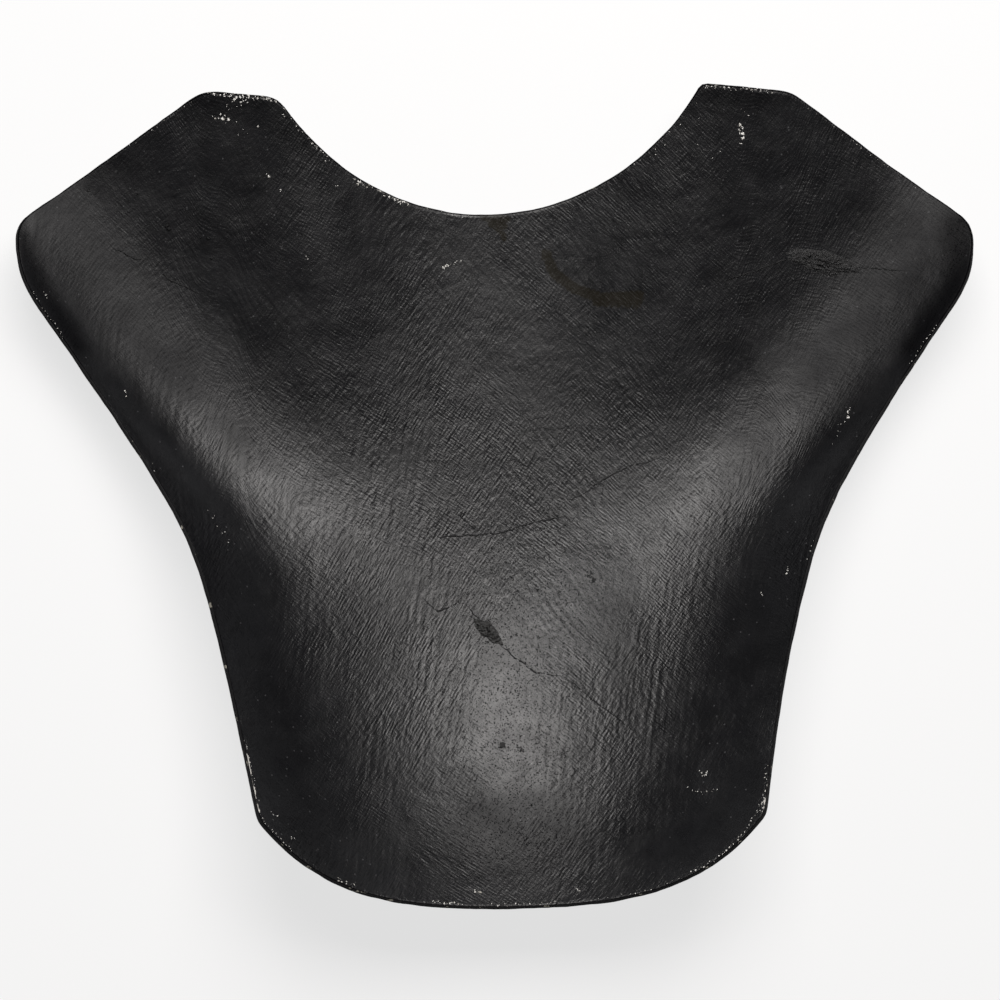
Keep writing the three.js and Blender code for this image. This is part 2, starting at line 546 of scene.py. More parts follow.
    def bare(self, work: PaintWork, fray: Sock) -> Sock:
        """Bare glass in the worn margin, just inside the thin dark line of the edge.

        Args:
            work: The material's tree.
            fray: Noise that breaks up its border.

        Returns:
            1 where the glass is bare.
        """
        from_rim = work.mark(Mark.FROM_RIM)
        clumps = work.cloud(work.place(), self.worn_clump, 2.0, 17.0) * 1.8 - 0.9
        width = (work.mark(Mark.WORN) - 0.58 + clumps) * self.worn_width + (fray - 0.5) * 0.0018
        return (width - from_rim).step(0.0, 0.0003) * from_rim.step(0.0003, 0.0006)


@dataclass(frozen=True)
class ClearTwill:
    """Clear coat over dark twill, on the convex outer face.

    Attributes:
        lit_warp: Colour of the rovings along the shell, painted lighter as the sheen that they catch.
        shaded_weft: Colour of the rovings across it, painted darker as the same rovings out of the sheen.
        roving: Width of a roving, in metres.
        depth: Height of the rovings under the coat, in metres.
    """

    lit_warp: Colour = (0.030, 0.030, 0.032)
    shaded_weft: Colour = (0.011, 0.011, 0.012)
    roving: float = 0.0021
    depth: float = 0.00006

    def material(self) -> bpy.types.Material:
        """Builds the coated twill.

        Returns:
            The material of the outer face.
        """
        work = PaintWork("clear_twill")
        where = work.place()
        across, along = work.cloth()
        column, row = across / self.roving, along / self.roving
        on_top = (column.floor() - row.floor()).wrapped(4.0).step(1.4, 1.6)
        ridge = column.fraction() * math.pi
        furrow = row.fraction() * math.pi
        height = ridge.sine() * (1 - on_top) + furrow.sine() * on_top
        # Painted sheen: the same rovings get a lit colour one way and a shaded colour the other.
        colour = work.mix(on_top, self.lit_warp, self.shaded_weft)
        colour = work.mix(height.step(0.45, 0.0), colour, tuple(c * 0.4 for c in self.shaded_weft))
        haze = work.cloud(where, 0.02, 3.0, 21.0)
        return work.finish(
            {
                "Base Color": colour,
                "Roughness": haze * 0.15 + 0.30,
                "Normal": work.bump(height, self.depth),
                "Coat Weight": 1.0,
                "Coat Roughness": 0.04,
            }
        )


@dataclass(frozen=True)
class CutEdge:
    """Sawn edge of the laminate: plies of glass, mostly hidden by paint.

    Attributes:
        paint: Colour of the paint.
        ply: Colour of the sawn plies.
        plies: Number of plies through the thickness.
    """

    paint: Colour = (0.0150, 0.0150, 0.0158)
    ply: Colour = (0.46, 0.44, 0.38)
    plies: float = 5.0

    def material(self) -> bpy.types.Material:
        """Builds the cut edge.

        Returns:
            The material of the rim.
        """
        work = PaintWork("cut_edge")
        where = work.place()
        through = work.mark(Mark.THROUGH)
        lines = (through * (2 * math.pi * self.plies)).sine() * 0.5 + 0.5
        gone = work.cloud(where, 0.004, 4.0, 31.0).step(0.63, 0.67)
        sawn = work.mix(lines, self.ply, tuple(c * 0.5 for c in self.ply))
        colour = work.mix(gone, self.paint, sawn)
        relief = work.cloud(where, 0.0012, 3.0, 32.0) + lines * 0.4 * gone
        return work.finish(
            {
                "Base Color": colour,
                "Roughness": gone * 0.10 + 0.75,
                "Specular IOR Level": 0.1,
                "Normal": work.bump(relief, 0.00015),
            }
        )


@dataclass(frozen=True)
class BareGlass:
    """White glass fibre where the paint has flaked off.

    Attributes:
        light: Colour of clean fibre.
        soiled: Colour of fibre with resin and dirt in it.
    """

    light: Colour = (0.80, 0.79, 0.76)
    soiled: Colour = (0.36, 0.34, 0.30)

    def material(self) -> bpy.types.Material:
        """Builds the bare fibre.

        Returns:
            The material of the chips.
        """
        work = PaintWork("bare_glass")
        where = work.place()
        soil = work.cloud(where, 0.0016, 3.0, 41.0).step(0.45, 0.65)
        fibre = work.cloud(where, 0.0005, 2.0, 42.0)
        return work.finish(
            {
                "Base Color": work.mix(soil, self.light, self.soiled),
                "Roughness": fibre * 0.2 + 0.55,
                "Normal": work.bump(fibre, 0.00008),
            }
        )


@dataclass(frozen=True)
class Resin:
    """Hardened resin under the paint, or the dark filling of a crease.

    Attributes:
        name: Name of the material.
        tint: Its colour.
        gloss: Roughness where it is smoothest.
        lump: Size of its lumps, in metres.
        depth: Height of its lumps, in metres.
        gaps: Share of a crease that has closed up, 0 for none.
    """

    name: str
    tint: Colour
    gloss: float
    lump: float
    depth: float
    gaps: float = 0.0

    def material(self) -> bpy.types.Material:
        """Builds the resin.

        Returns:
            The material.
        """
        work = PaintWork(self.name)
        where = work.place()
        lumps = work.cloud(where, self.lump, 3.0, 51.0)
        dull = work.cloud(where, self.lump * 3, 2.0, 52.0)
        # Painted shade: the lumps' low places, which are also the bump's hollows, get a darker copy of the
        # tint than their crowns.
        dark = tuple(c * 0.15 for c in self.tint)
        feeds: dict[str, Feed] = {
            "Base Color": work.mix(lumps.step(0.35, 0.65), dark, self.tint),
            "Roughness": dull * 0.25 + self.gloss,
            "Normal": work.bump(lumps, self.depth),
        }
        if self.gaps > 0.0:
            feeds["Alpha"] = work.cloud(where, 0.0012, 1.0, 53.0).step(self.gaps, self.gaps + 0.06)
        return work.finish(feeds)


@dataclass(frozen=True)
class StudioPaper:
    """Pale floor that the camera and glossy surfaces see as white, with the object's shadow kept.

    Attributes:
        tint: Colour of the floor.
        glow: Share of plain white that the camera sees in it.
    """

    tint: Colour = (0.93, 0.93, 0.93)
    glow: float = 0.72

    def material(self) -> bpy.types.Material:
        """Builds the floor's material.

        Returns:
            The material.
        """
        work = PaintWork("studio_paper")
        where = work.place()
        fibre = work.cloud(where, 0.15, 3.0, 61.0)
        work.finish(
            {
                "Base Color": work.mix(fibre, self.tint, tuple(c * 0.985 for c in self.tint)),
                "Roughness": 0.9,
            }
        )
        kinds = ("Is Camera Ray", "Is Glossy Ray", "Is Transmission Ray")
        seen = [work.node("ShaderNodeLightPath", output=kind) for kind in kinds]
        share = seen[0].largest(seen[1]).largest(seen[2]) * self.glow
        white = work.node("ShaderNodeEmission", inputs={"Color": (1, 1, 1, 1), "Strength": 1.0})
        paper = Sock(work, work.shader.outputs[0])
        shown = work.node("ShaderNodeMixShader", inputs={0: share, 1: paper, 2: white})
        work.feed(work.output.inputs[0], shown)
        return work.material


@dataclass(frozen=True)
class PhotoView:
    """The photograph's camera, and the way from its pixels to the shell.

    Attributes:
        aim: Point that the middle of the picture shows.
        toward: Direction from that point to the camera.
        roll: Turn of the camera about its own axis, in degrees.
        distance: From the aim to the camera.
        lens: Focal length, in millimetres.
        sensor: Sensor width, in millimetres.
        side: Width and height of the picture, in pixels.
    """

    aim: tuple[float, float, float] = (0.0016, -0.0006, -0.0060)
    toward: tuple[float, float, float] = (-0.0738, -0.0696, 0.9948)
    roll: float = -0.70
    distance: float = 1.520
    lens: float = 128.6
    sensor: float = 36.0
    side: int = 1000

    def axes(self) -> tuple[Vector, Vector, Vector]:
        """The camera's axes.

        Returns:
            Right, up and back, each of length 1.
        """
        back = Vector(self.toward).normalized()
        right = Vector((0, 1, 0)).cross(back).normalized()
        turn = Matrix.Rotation(math.radians(self.roll), 3, back)
        right = turn @ right
        return right, back.cross(right), back

    def eye(self) -> Vector:
        """Place of the camera."""
        return Vector(self.aim) + self.axes()[2] * self.distance

    def build(self) -> bpy.types.Object:
        """Makes the scene's camera.

        Returns:
            The camera.
        """
        data = bpy.data.cameras.new("photo_camera")
        data.lens, data.sensor_width, data.sensor_fit = self.lens, self.sensor, "AUTO"
        data.clip_start, data.clip_end = 0.05, 60.0
        camera = bpy.data.objects.new("photo_camera", data)
        right, up, back = self.axes()
        turned = Matrix((right, up, back)).transposed().to_4x4()
        camera.matrix_world = Matrix.Translation(self.eye()) @ turned
        bpy.context.scene.collection.objects.link(camera)
        bpy.context.scene.camera = camera
        return camera

    def ray(self, pixel: Pixel) -> Vector:
        """Direction from the camera through a pixel of the photograph."""
        right, up, back = self.axes()
        scale = self.sensor / self.lens / self.side
        shift_x, shift_y = pixel[0] - self.side / 2, self.side / 2 - pixel[1]
        return (right * (shift_x * scale) + up * (shift_y * scale) - back).normalized()


@dataclass
class Studio:
    """Floor, soft light and surroundings.

    Attributes:
        middle: Point of the object that the light faces.
        floor_radius: Radius of the round floor.
        light_from: Direction from the middle to the light.
        light_distance: From the object's middle to the light.
        light_size: Width and height of the light.
        light_glow: Radiance of the light.
        light_tint: Its colour.
        ceiling: Brightness of the surroundings overhead.
        horizon: Brightness of the surroundings near the floor.
        sky: Colour of the surroundings.
    """

    middle: tuple[float, float, float] = (0.0, 0.0, 0.0)
    floor_radius: float = 14.0
    light_from: tuple[float, float, float] = (0.048, 0.496, 0.867)
    light_distance: float = 1.40
    light_size: tuple[float, float] = (0.98, 0.82)
    light_glow: float = 8.9
    light_tint: Colour = (1.0, 0.970, 0.950)
    ceiling: float = 0.040
    horizon: float = 0.55
    sky: Colour = (0.94, 0.97, 1.0)

    def build(self) -> None:
        """Makes the floor, the light and the world."""
        scene = bpy.context.scene
        scene.view_settings.view_transform = "Standard"
        self.build_floor()
        self.build_light()
        self.build_world()
        log.info("studio: floor, one soft light, world")

    def build_floor(self) -> None:
        """Makes the round floor at the height that the object rests on."""
        mesh = bpy.data.meshes.new("floor")
        form = bmesh.new()
        bmesh.ops.create_circle(form, cap_ends=True, segments=96, radius=self.floor_radius)
        form.to_mesh(mesh)
        form.free()
        mesh.materials.append(StudioPaper().material())
        floor = bpy.data.objects.new("floor", mesh)
        bpy.context.scene.collection.objects.link(floor)

    def build_light(self) -> None:
        """Makes the soft box, whose power follows from its size and radiance."""
        width, height = self.light_size
        data = bpy.data.lights.new("soft_box", "AREA")
        data.shape, data.size, data.size_y = "RECTANGLE", width, height
        data.energy = self.light_glow * math.pi * width * height
        data.color = self.light_tint
        away = Vector(self.light_from).normalized()
        box = bpy.data.objects.new("soft_box", data)
        box.location = Vector(self.middle) + away * self.light_distance
        box.rotation_euler = away.to_track_quat("Z", "Y").to_euler()
        box.visible_camera = False
        bpy.context.scene.collection.objects.link(box)

    def build_world(self) -> None:
        """Makes surroundings that are pale at the horizon and dim overhead."""
        world = bpy.data.worlds.new("studio")
        world.use_nodes = True
        work = NodeWork(world.node_tree)
        work.tree.nodes.clear()
        output = work.tree.nodes.new("ShaderNodeOutputWorld")
        direction = work.node("ShaderNodeTexCoord", output="Generated")
        rise = work.node("ShaderNodeSeparateXYZ", inputs={0: direction}, output=2)
        share = rise.step(0.02, 0.12)
        level = self.horizon + share * (self.ceiling - self.horizon)
        glow = work.node("ShaderNodeBackground", inputs={"Color": (*self.sky, 1.0), "Strength": level})
        work.feed(output.inputs[0], glow)
        bpy.context.scene.world = world


def new_object(name: str, mesh: bpy.types.Mesh) -> bpy.types.Object:
    """Links a new object at the origin.

    Args:
        name: Name of the object and its mesh.
        mesh: The mesh.

    Returns:
        The object.
    """
    mesh.name = name
    piece = bpy.data.objects.new(name, mesh)
    bpy.context.scene.collection.objects.link(piece)
    return piece


def settle(piece: bpy.types.Object) -> bpy.types.Mesh:
    """Makes what the modifiers give into a plain mesh, and takes the modifiers off.

    Args:
        piece: An object with modifiers.

    Returns:
        Its new mesh.
    """
    bpy.context.view_layer.update()
    graph = bpy.context.evaluated_depsgraph_get()
    plain = bpy.data.meshes.new_from_object(
        piece.evaluated_get(graph), preserve_all_data_layers=True, depsgraph=graph
    )
    piece.modifiers.clear()
    piece.data = plain
    return plain


def declare(piece: bpy.types.Object) -> None:
    """Fixes a finished piece to the body and logs how many faces it has."""
    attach(piece, BODY)
    log.info("%s: %d faces", piece.name, len(piece.data.polygons))


class GeometryWork(NodeWork):
    """A geometry tree with named inputs, and the modifier that uses it."""

    def __init__(self, name: str, sockets: dict[str, tuple[str, Feed]]) -> None:
        """Makes the tree.

        Args:
            name: The tree's name.
            sockets: Its inputs after the geometry: socket type and first value by name.
        """
        tree = bpy.data.node_groups.new(name, "GeometryNodeTree")
        tree.interface.new_socket("Geometry", in_out="INPUT", socket_type="NodeSocketGeometry")
        self.ids: dict[str, str] = {}
        for label, (kind, value) in sockets.items():
            made = tree.interface.new_socket(label, in_out="INPUT", socket_type=kind)
            if value is not None:
                made.default_value = value
            self.ids[label] = made.identifier
        tree.interface.new_socket("Geometry", in_out="OUTPUT", socket_type="NodeSocketGeometry")
        super().__init__(tree)
        self.entry = tree.nodes.new("NodeGroupInput")
        self.exit = tree.nodes.new("NodeGroupOutput")

    def input(self, label: str) -> Sock:
        """One of the tree's inputs, by name."""
        return Sock(self, self.entry.outputs[label])

    def named(self, name: str, kind: str = "FLOAT") -> Sock:
        """A named attribute of the geometry."""
        return self.node("GeometryNodeInputNamedAttribute", {"data_type": kind}, {"Name": name})

    def end(self, geometry: Sock, finishes: dict[str, Optional[Sock]]) -> None:
        """Realizes the instances and gives the faces their materials.

        Args:
            geometry: What the tree made.
            finishes: The faces that each material input is for, by that input's name. None is all of them.
        """
        shown = self.node("GeometryNodeRealizeInstances", inputs={0: geometry})
        for label, chosen in finishes.items():
            sockets: dict[Union[str, int], Feed] = {"Geometry": shown, "Material": self.input(label)}
            if chosen is not None:
                sockets["Selection"] = chosen
            shown = self.node("GeometryNodeSetMaterial", inputs=sockets)
        self.feed(self.exit.inputs[0], shown)

    def apply(self, piece: bpy.types.Object, values: dict[str, Feed]) -> bpy.types.Mesh:
        """Runs the tree on an object.

        Args:
            piece: The object.
            values: Values of the tree's inputs, by name.

        Returns:
            The plain mesh that it makes.
        """
        modifier = piece.modifiers.new(self.tree.name, "NODES")
        modifier.node_group = self.tree
        for label, value in values.items():
            modifier[self.ids[label]] = value
        return settle(piece)


@dataclass
class CoverShell:
    """The laminate shell, made from a merged copy of the CAD node.

    Attributes:
        levels: Times that its faces are subdivided.
        edge_angle: Angle at which two faces meet in a sharp edge, in degrees.
        crease: How much the rim's edges stay sharp.
        waviness: Height of the hand-laid cloth's waves.
        wave_size: Length of those waves.
        ragged: How far the sawn edge wanders inwards.
        ragged_size: Length of those wanderings.
        easing: Times that the heights of the resin-rich valleys are evened out.
        grid_step: Spacing at which the cloth's course is measured.
    """

    levels: int = 2
    edge_angle: float = 60.0
    crease: float = 0.32
    waviness: float = 0.00024
    wave_size: float = 0.017
    ragged: float = 0.00035
    ragged_size: float = 0.009
    easing: int = 160
    grid_step: float = 0.002
    piece: bpy.types.Object = field(init=False)
    tree: BVHTree = field(init=False)
    rim: kdtree.KDTree = field(init=False)
    rim_points: np.ndarray = field(init=False)

    def build(self, node: bpy.types.Object) -> None:
        """Copies, merges and subdivides the CAD node's mesh.

        Args:
            node: The CAD node's object.
        """
        self.piece = new_object("moulded_shell", self.merged(node.data))
        rounder = self.piece.modifiers.new("rounder", "SUBSURF")
        rounder.levels = rounder.render_levels = self.levels
        rounder.use_limit_surface = False
        mesh = settle(self.piece)
        mesh.shade_smooth()
        self.measure(mesh)

    def merged(self, source: bpy.types.Mesh) -> bpy.types.Mesh:
        """Merges loose triangles into quads and numbers the faces' regions.

        Args:
            source: The CAD node's mesh, which stays as it is.

        Returns:
            The merged copy.
        """
        mesh = source.copy()
        mesh.materials.clear()
        form = bmesh.new()
        form.from_mesh(mesh)
        bmesh.ops.remove_doubles(form, verts=form.verts, dist=0.01 * MILLIMETRE)
        limit = math.radians(self.edge_angle)
        bmesh.ops.join_triangles(
            form,
            faces=form.faces,
            angle_face_threshold=limit / 2,
            angle_shape_threshold=math.pi,
            topology_influence=1.5,
        )
        crease = form.edges.layers.float.new("crease_edge")
        sharp = {e for e in form.edges if e.calc_face_angle(0.0) > limit}
        for edge in sharp:
            edge[crease] = self.crease
        regions = self.regions(form, sharp)
        for face in form.faces:
            face.material_index = Face.RIM.value
        for region in regions[:2]:
            upward = sum(f.normal.z * f.calc_area() for f in region) > 0
            for face in region:
                face.material_index = (Face.INNER if upward else Face.OUTER).value
        triangles = sum(len(f.verts) == 3 for f in form.faces)
        log.info("merged shell: %d faces, %d of them triangles", len(form.faces), triangles)
        form.to_mesh(mesh)
        form.free()
        return mesh

    @staticmethod
    def regions(form: bmesh.types.BMesh, sharp: set[bmesh.types.BMEdge]) -> list[list[bmesh.types.BMFace]]:
        """Finds the groups of faces that no sharp edge divides.

        Args:
            form: The mesh.
            sharp: Its sharp edges.

        Returns:
            The groups, largest first.
        """
        left = set(form.faces)
        found = []
        while left:
            start = left.pop()
            group, queue = [start], [start]
            while queue:
                for edge in queue.pop().edges:
                    if edge in sharp:
                        continue
                    for face in edge.link_faces:
                        if face in left:
                            left.remove(face)
                            group.append(face)
                            queue.append(face)
            found.append(group)
        return sorted(found, key=len, reverse=True)

    def measure(self, mesh: bpy.types.Mesh) -> None:
        """Keeps what later pieces are placed by: the inner face and the rim's inner edge.

        Args:
            mesh: The subdivided mesh.
        """
        points, sides, corners = self.arrays(mesh)
        inner = [tuple(c) for c, s in zip(corners, sides) if s == Face.INNER.value]
        self.tree = BVHTree.FromPolygons([tuple(p) for p in points], inner)
        is_inner = np.zeros(len(points), bool)
        is_rim = np.zeros(len(points), bool)
        for corner, side in zip(corners, sides):
            if side == Face.INNER.value:
                is_inner[list(corner)] = True
            elif side == Face.RIM.value:
                is_rim[list(corner)] = True
        ends = np.array([e.vertices[:] for e in mesh.edges])
        on_edge = is_inner & is_rim
        ends = ends[on_edge[ends].all(axis=1)]
        shares = np.linspace(0, 1, 6, endpoint=False)[None, :, None]
        first, last = points[ends[:, 0]][:, None], points[ends[:, 1]][:, None]
        self.rim_points = (first + (last - first) * shares).reshape(-1, 3)
        self.rim = kdtree.KDTree(len(self.rim_points))
        for i, p in enumerate(self.rim_points):
            self.rim.insert(p, i)
        self.rim.balance()

    @staticmethod
    def arrays(mesh: bpy.types.Mesh) -> tuple[np.ndarray, np.ndarray, list[tuple[int, ...]]]:
        """The mesh's points, its faces' regions and its faces' corners."""
        points = np.empty(len(mesh.vertices) * 3, np.float32)
        mesh.vertices.foreach_get("co", points)
        sides = np.empty(len(mesh.polygons), np.int32)
        mesh.polygons.foreach_get("material_index", sides)
        return points.reshape(-1, 3), sides, [tuple(p.vertices) for p in mesh.polygons]

    def spot(self, view: PhotoView, pixel: Pixel) -> Spot:
        """Where a pixel of the photograph falls on the inner face.

        Args:
            view: The camera.
            pixel: The pixel. One that just misses the shell gives the nearest point of it.

        Returns:
            The point and the face's normal there.
        """
        eye, ray = view.eye(), view.ray(pixel)
        place, normal, _, _ = self.tree.ray_cast(eye, ray)
        if place is None:
            fall = (eye.z - HALF_HEIGHT) / -ray.z
            place, normal, _, _ = self.tree.find_nearest(eye + ray * fall)
        return place, normal

    def beside_rim(self, place: Vector, inset: float) -> Vector:
        """Moves a point to a set distance from the rim.

        Args:
            place: A point on the inner face.
            inset: Distance from the rim that it gets.

        Returns:
            The nearest such point of the inner face.
        """
        edge, _, _ = self.rim.find(place)
        inward = place - edge
        if inward.length < 0.5 * MILLIMETRE:
            inward = Vector((0, 0, edge.z)) - edge
        moved, _, _, _ = self.tree.find_nearest(edge + inward.normalized() * inset)
        return moved

    def drape(self, mesh: bpy.types.Mesh) -> None:
        """Writes the cloth's coordinates: lengths along the surface, across and lengthwise.

        Args:
            mesh: The mesh that gets the map.
        """
        points, _, _ = self.arrays(mesh)
        reach = np.abs(points).max(axis=0) + self.grid_step
        xs = np.arange(-reach[0], reach[0], self.grid_step)
        ys = np.arange(-reach[1], reach[1], self.grid_step)
        heights = np.array([[self.height(x, y) for x in xs] for y in ys])
        slope_y, slope_x = np.gradient(heights, self.grid_step)
        across = np.cumsum(np.hypot(1, slope_x), axis=1) * self.grid_step
        across -= across[:, [len(xs) // 2]]
        along = np.cumsum(np.hypot(1, slope_y), axis=0) * self.grid_step
        column = np.clip((points[:, 0] - xs[0]) / self.grid_step, 0, len(xs) - 1.001)
        row = np.clip((points[:, 1] - ys[0]) / self.grid_step, 0, len(ys) - 1.001)
        flat = np.stack([self.blend(across, column, row), self.blend(along, column, row)], axis=1)
        corners = np.empty(len(mesh.loops), np.int32)
        mesh.loops.foreach_get("vertex_index", corners)
        layer = mesh.uv_layers.new(name=CLOTH_MAP)
        layer.uv.foreach_set("vector", flat[corners].astype(np.float32).ravel())

    def height(self, x: float, y: float) -> float:
        """Height of the inner face over a point, or of its nearest point outside the rim."""
        place, _, _, _ = self.tree.ray_cast(Vector((x, y, 1)), Vector((0, 0, -1)))
        if place is None:
            place = self.tree.find_nearest(Vector((x, y, HALF_HEIGHT)))[0]
        return place.z

    @staticmethod
    def blend(grid: np.ndarray, column: np.ndarray, row: np.ndarray) -> np.ndarray:
        """Values of a grid between its nodes.

        Args:
            grid: Rows by columns.
            column: Place along the columns, in steps.
            row: Place along the rows, in steps.

        Returns:
            One value for each place.
        """
        i, j = column.astype(int), row.astype(int)
        u, v = column - i, row - j
        near = grid[j, i] * (1 - u) + grid[j, i + 1] * u
        far = grid[j + 1, i] * (1 - u) + grid[j + 1, i + 1] * u
        return near * (1 - v) + far * v

    def dress(self, marks: "FaceMarks", view: PhotoView) -> None:
        """Paints the marks, adds the waves and the ragged edge, and gives each face its finish.

        Args:
            marks: Stains, smudges and wear.
            view: The camera, for their places.
        """
        mesh = self.piece.data
        self.drape(mesh)
        points, sides, corners = self.arrays(mesh)
        from_rim = np.array([self.rim.find(p)[2] for p in points], np.float32)
        self.write(mesh, Mark.FROM_RIM.value, from_rim)
        for mark, values in marks.paint(self, view, points).items():
            self.write(mesh, mark.value, values)
        self.write(mesh, Mark.THROUGH.value, np.clip(from_rim / LAMINATE, 0, 1))
        outward = np.zeros((len(points), 3), np.float32)
        for polygon, side in zip(mesh.polygons, sides):
            if side == Face.RIM.value:
                outward[list(polygon.vertices)] += np.array(polygon.normal) * polygon.area
        size = np.linalg.norm(outward, axis=1, keepdims=True)
        layer = mesh.attributes.new("outward", "FLOAT_VECTOR", "POINT")
        layer.data.foreach_set("vector", (outward / np.maximum(size, 1e-12)).astype(np.float32).ravel())
        finishes = {
            Face.INNER: PaintedCloth().material(),
            Face.OUTER: ClearTwill().material(),
            Face.RIM: CutEdge().material(),
        }
        for face in Face:
            mesh.materials.append(finishes[face])
        self.lay_up(self.piece, finishes)
        self.measure(self.piece.data)
        self.piece.data.attributes.remove(self.piece.data.attributes["outward"])
        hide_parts(NODE)
        declare(self.piece)

    @staticmethod
    def write(mesh: bpy.types.Mesh, name: str, values: np.ndarray) -> None:
        """Writes one number for each point of the mesh under a name."""
        layer = mesh.attributes.new(name, "FLOAT", "POINT")
        layer.data.foreach_set("value", values.astype(np.float32))

    def lay_up(self, piece: bpy.types.Object, finishes: dict[Face, bpy.types.Material]) -> None:
        """Runs the tree that gives the inner face its waves and the rim its wandering cut.

        Args:
            piece: The shell.
            finishes: Material of each face.
        """
        work = GeometryWork(
            "hand_lay_up",
            {
                "Waviness": ("NodeSocketFloat", self.waviness),
                "Wave size": ("NodeSocketFloat", self.wave_size),
                "Ragged": ("NodeSocketFloat", self.ragged),
                "Ragged size": ("NodeSocketFloat", self.ragged_size),
                "Easing": ("NodeSocketInt", self.easing),
                "Seed": ("NodeSocketFloat", 4.0),
                "Inner finish": ("NodeSocketMaterial", None),
                "Outer finish": ("NodeSocketMaterial", None),
                "Rim finish": ("NodeSocketMaterial", None),
            },
        )
        where = work.node("GeometryNodeInputPosition")
        evened = work.node(
            "GeometryNodeBlurAttribute",
            {"data_type": "FLOAT_VECTOR"},
            {0: where, "Iterations": work.input("Easing")},
        )
        away = work.node("ShaderNodeVectorMath", {"operation": "SUBTRACT"}, {0: evened, 1: where})
        filled_in = work.named(Mark.EASED.value) * work.named(Mark.FROM_RIM.value).step(0.004, 0.016)
        raised = work.node("ShaderNodeVectorMath", {"operation": "SCALE"}, {0: away, "Scale": filled_in})
        normal = work.node("GeometryNodeInputNormal")
        slot = work.node("GeometryNodeInputMaterialIndex")
        sides = {
            face: work.node(
                "FunctionNodeCompare", {"data_type": "INT", "operation": "EQUAL"}, {2: slot, 3: face.value}
            )
            for face in Face
        }
        four = {"noise_dimensions": "4D"}
        seed = work.input("Seed")
        scale = 1 / work.input("Wave size")
        waves = work.node("ShaderNodeTexNoise", four, {"W": seed, "Scale": scale, "Detail": 1.5})
        inland = work.named(Mark.FROM_RIM.value).step(0.001, 0.012)
        lift = (waves - 0.5) * 2 * work.input("Waviness") * inland
        rise = work.node("ShaderNodeVectorMath", {"operation": "SCALE"}, {0: normal, "Scale": lift})
        eased = work.node(
            "GeometryNodeSetPosition",
            inputs={"Geometry": work.input("Geometry"), "Selection": sides[Face.INNER], "Offset": raised},
        )
        waved = work.node(
            "GeometryNodeSetPosition",
            inputs={"Geometry": eased, "Selection": sides[Face.INNER], "Offset": rise},
        )
        wander = 1 / work.input("Ragged size")
        bites = work.node("ShaderNodeTexNoise", four, {"W": seed + 3, "Scale": wander, "Detail": 3.0})
        cut = bites.step(0.35, 0.75) * -1 * work.input("Ragged")
        outward = work.named("outward", "FLOAT_VECTOR")
        back = work.node("ShaderNodeVectorMath", {"operation": "SCALE"}, {0: outward, "Scale": cut})
        cut_edge = work.node("GeometryNodeSetPosition", inputs={"Geometry": waved, "Offset": back})
        work.end(
            cut_edge,
            {
                "Inner finish": sides[Face.INNER],
                "Outer finish": sides[Face.OUTER],
                "Rim finish": sides[Face.RIM],
            },
        )
        work.apply(
            piece,
            {
                "Inner finish": finishes[Face.INNER],
                "Outer finish": finishes[Face.OUTER],
                "Rim finish": finishes[Face.RIM],
            },
        )


@dataclass(frozen=True)
class Patch:
    """A soft-edged spot of one mark.

    Attributes:
        path: Pixels that it follows.
        radius: Its half width, in pixels.
        strength: Its value in the middle.
    """

    path: tuple[Pixel, ...]
    radius: float
    strength: float = 1.0


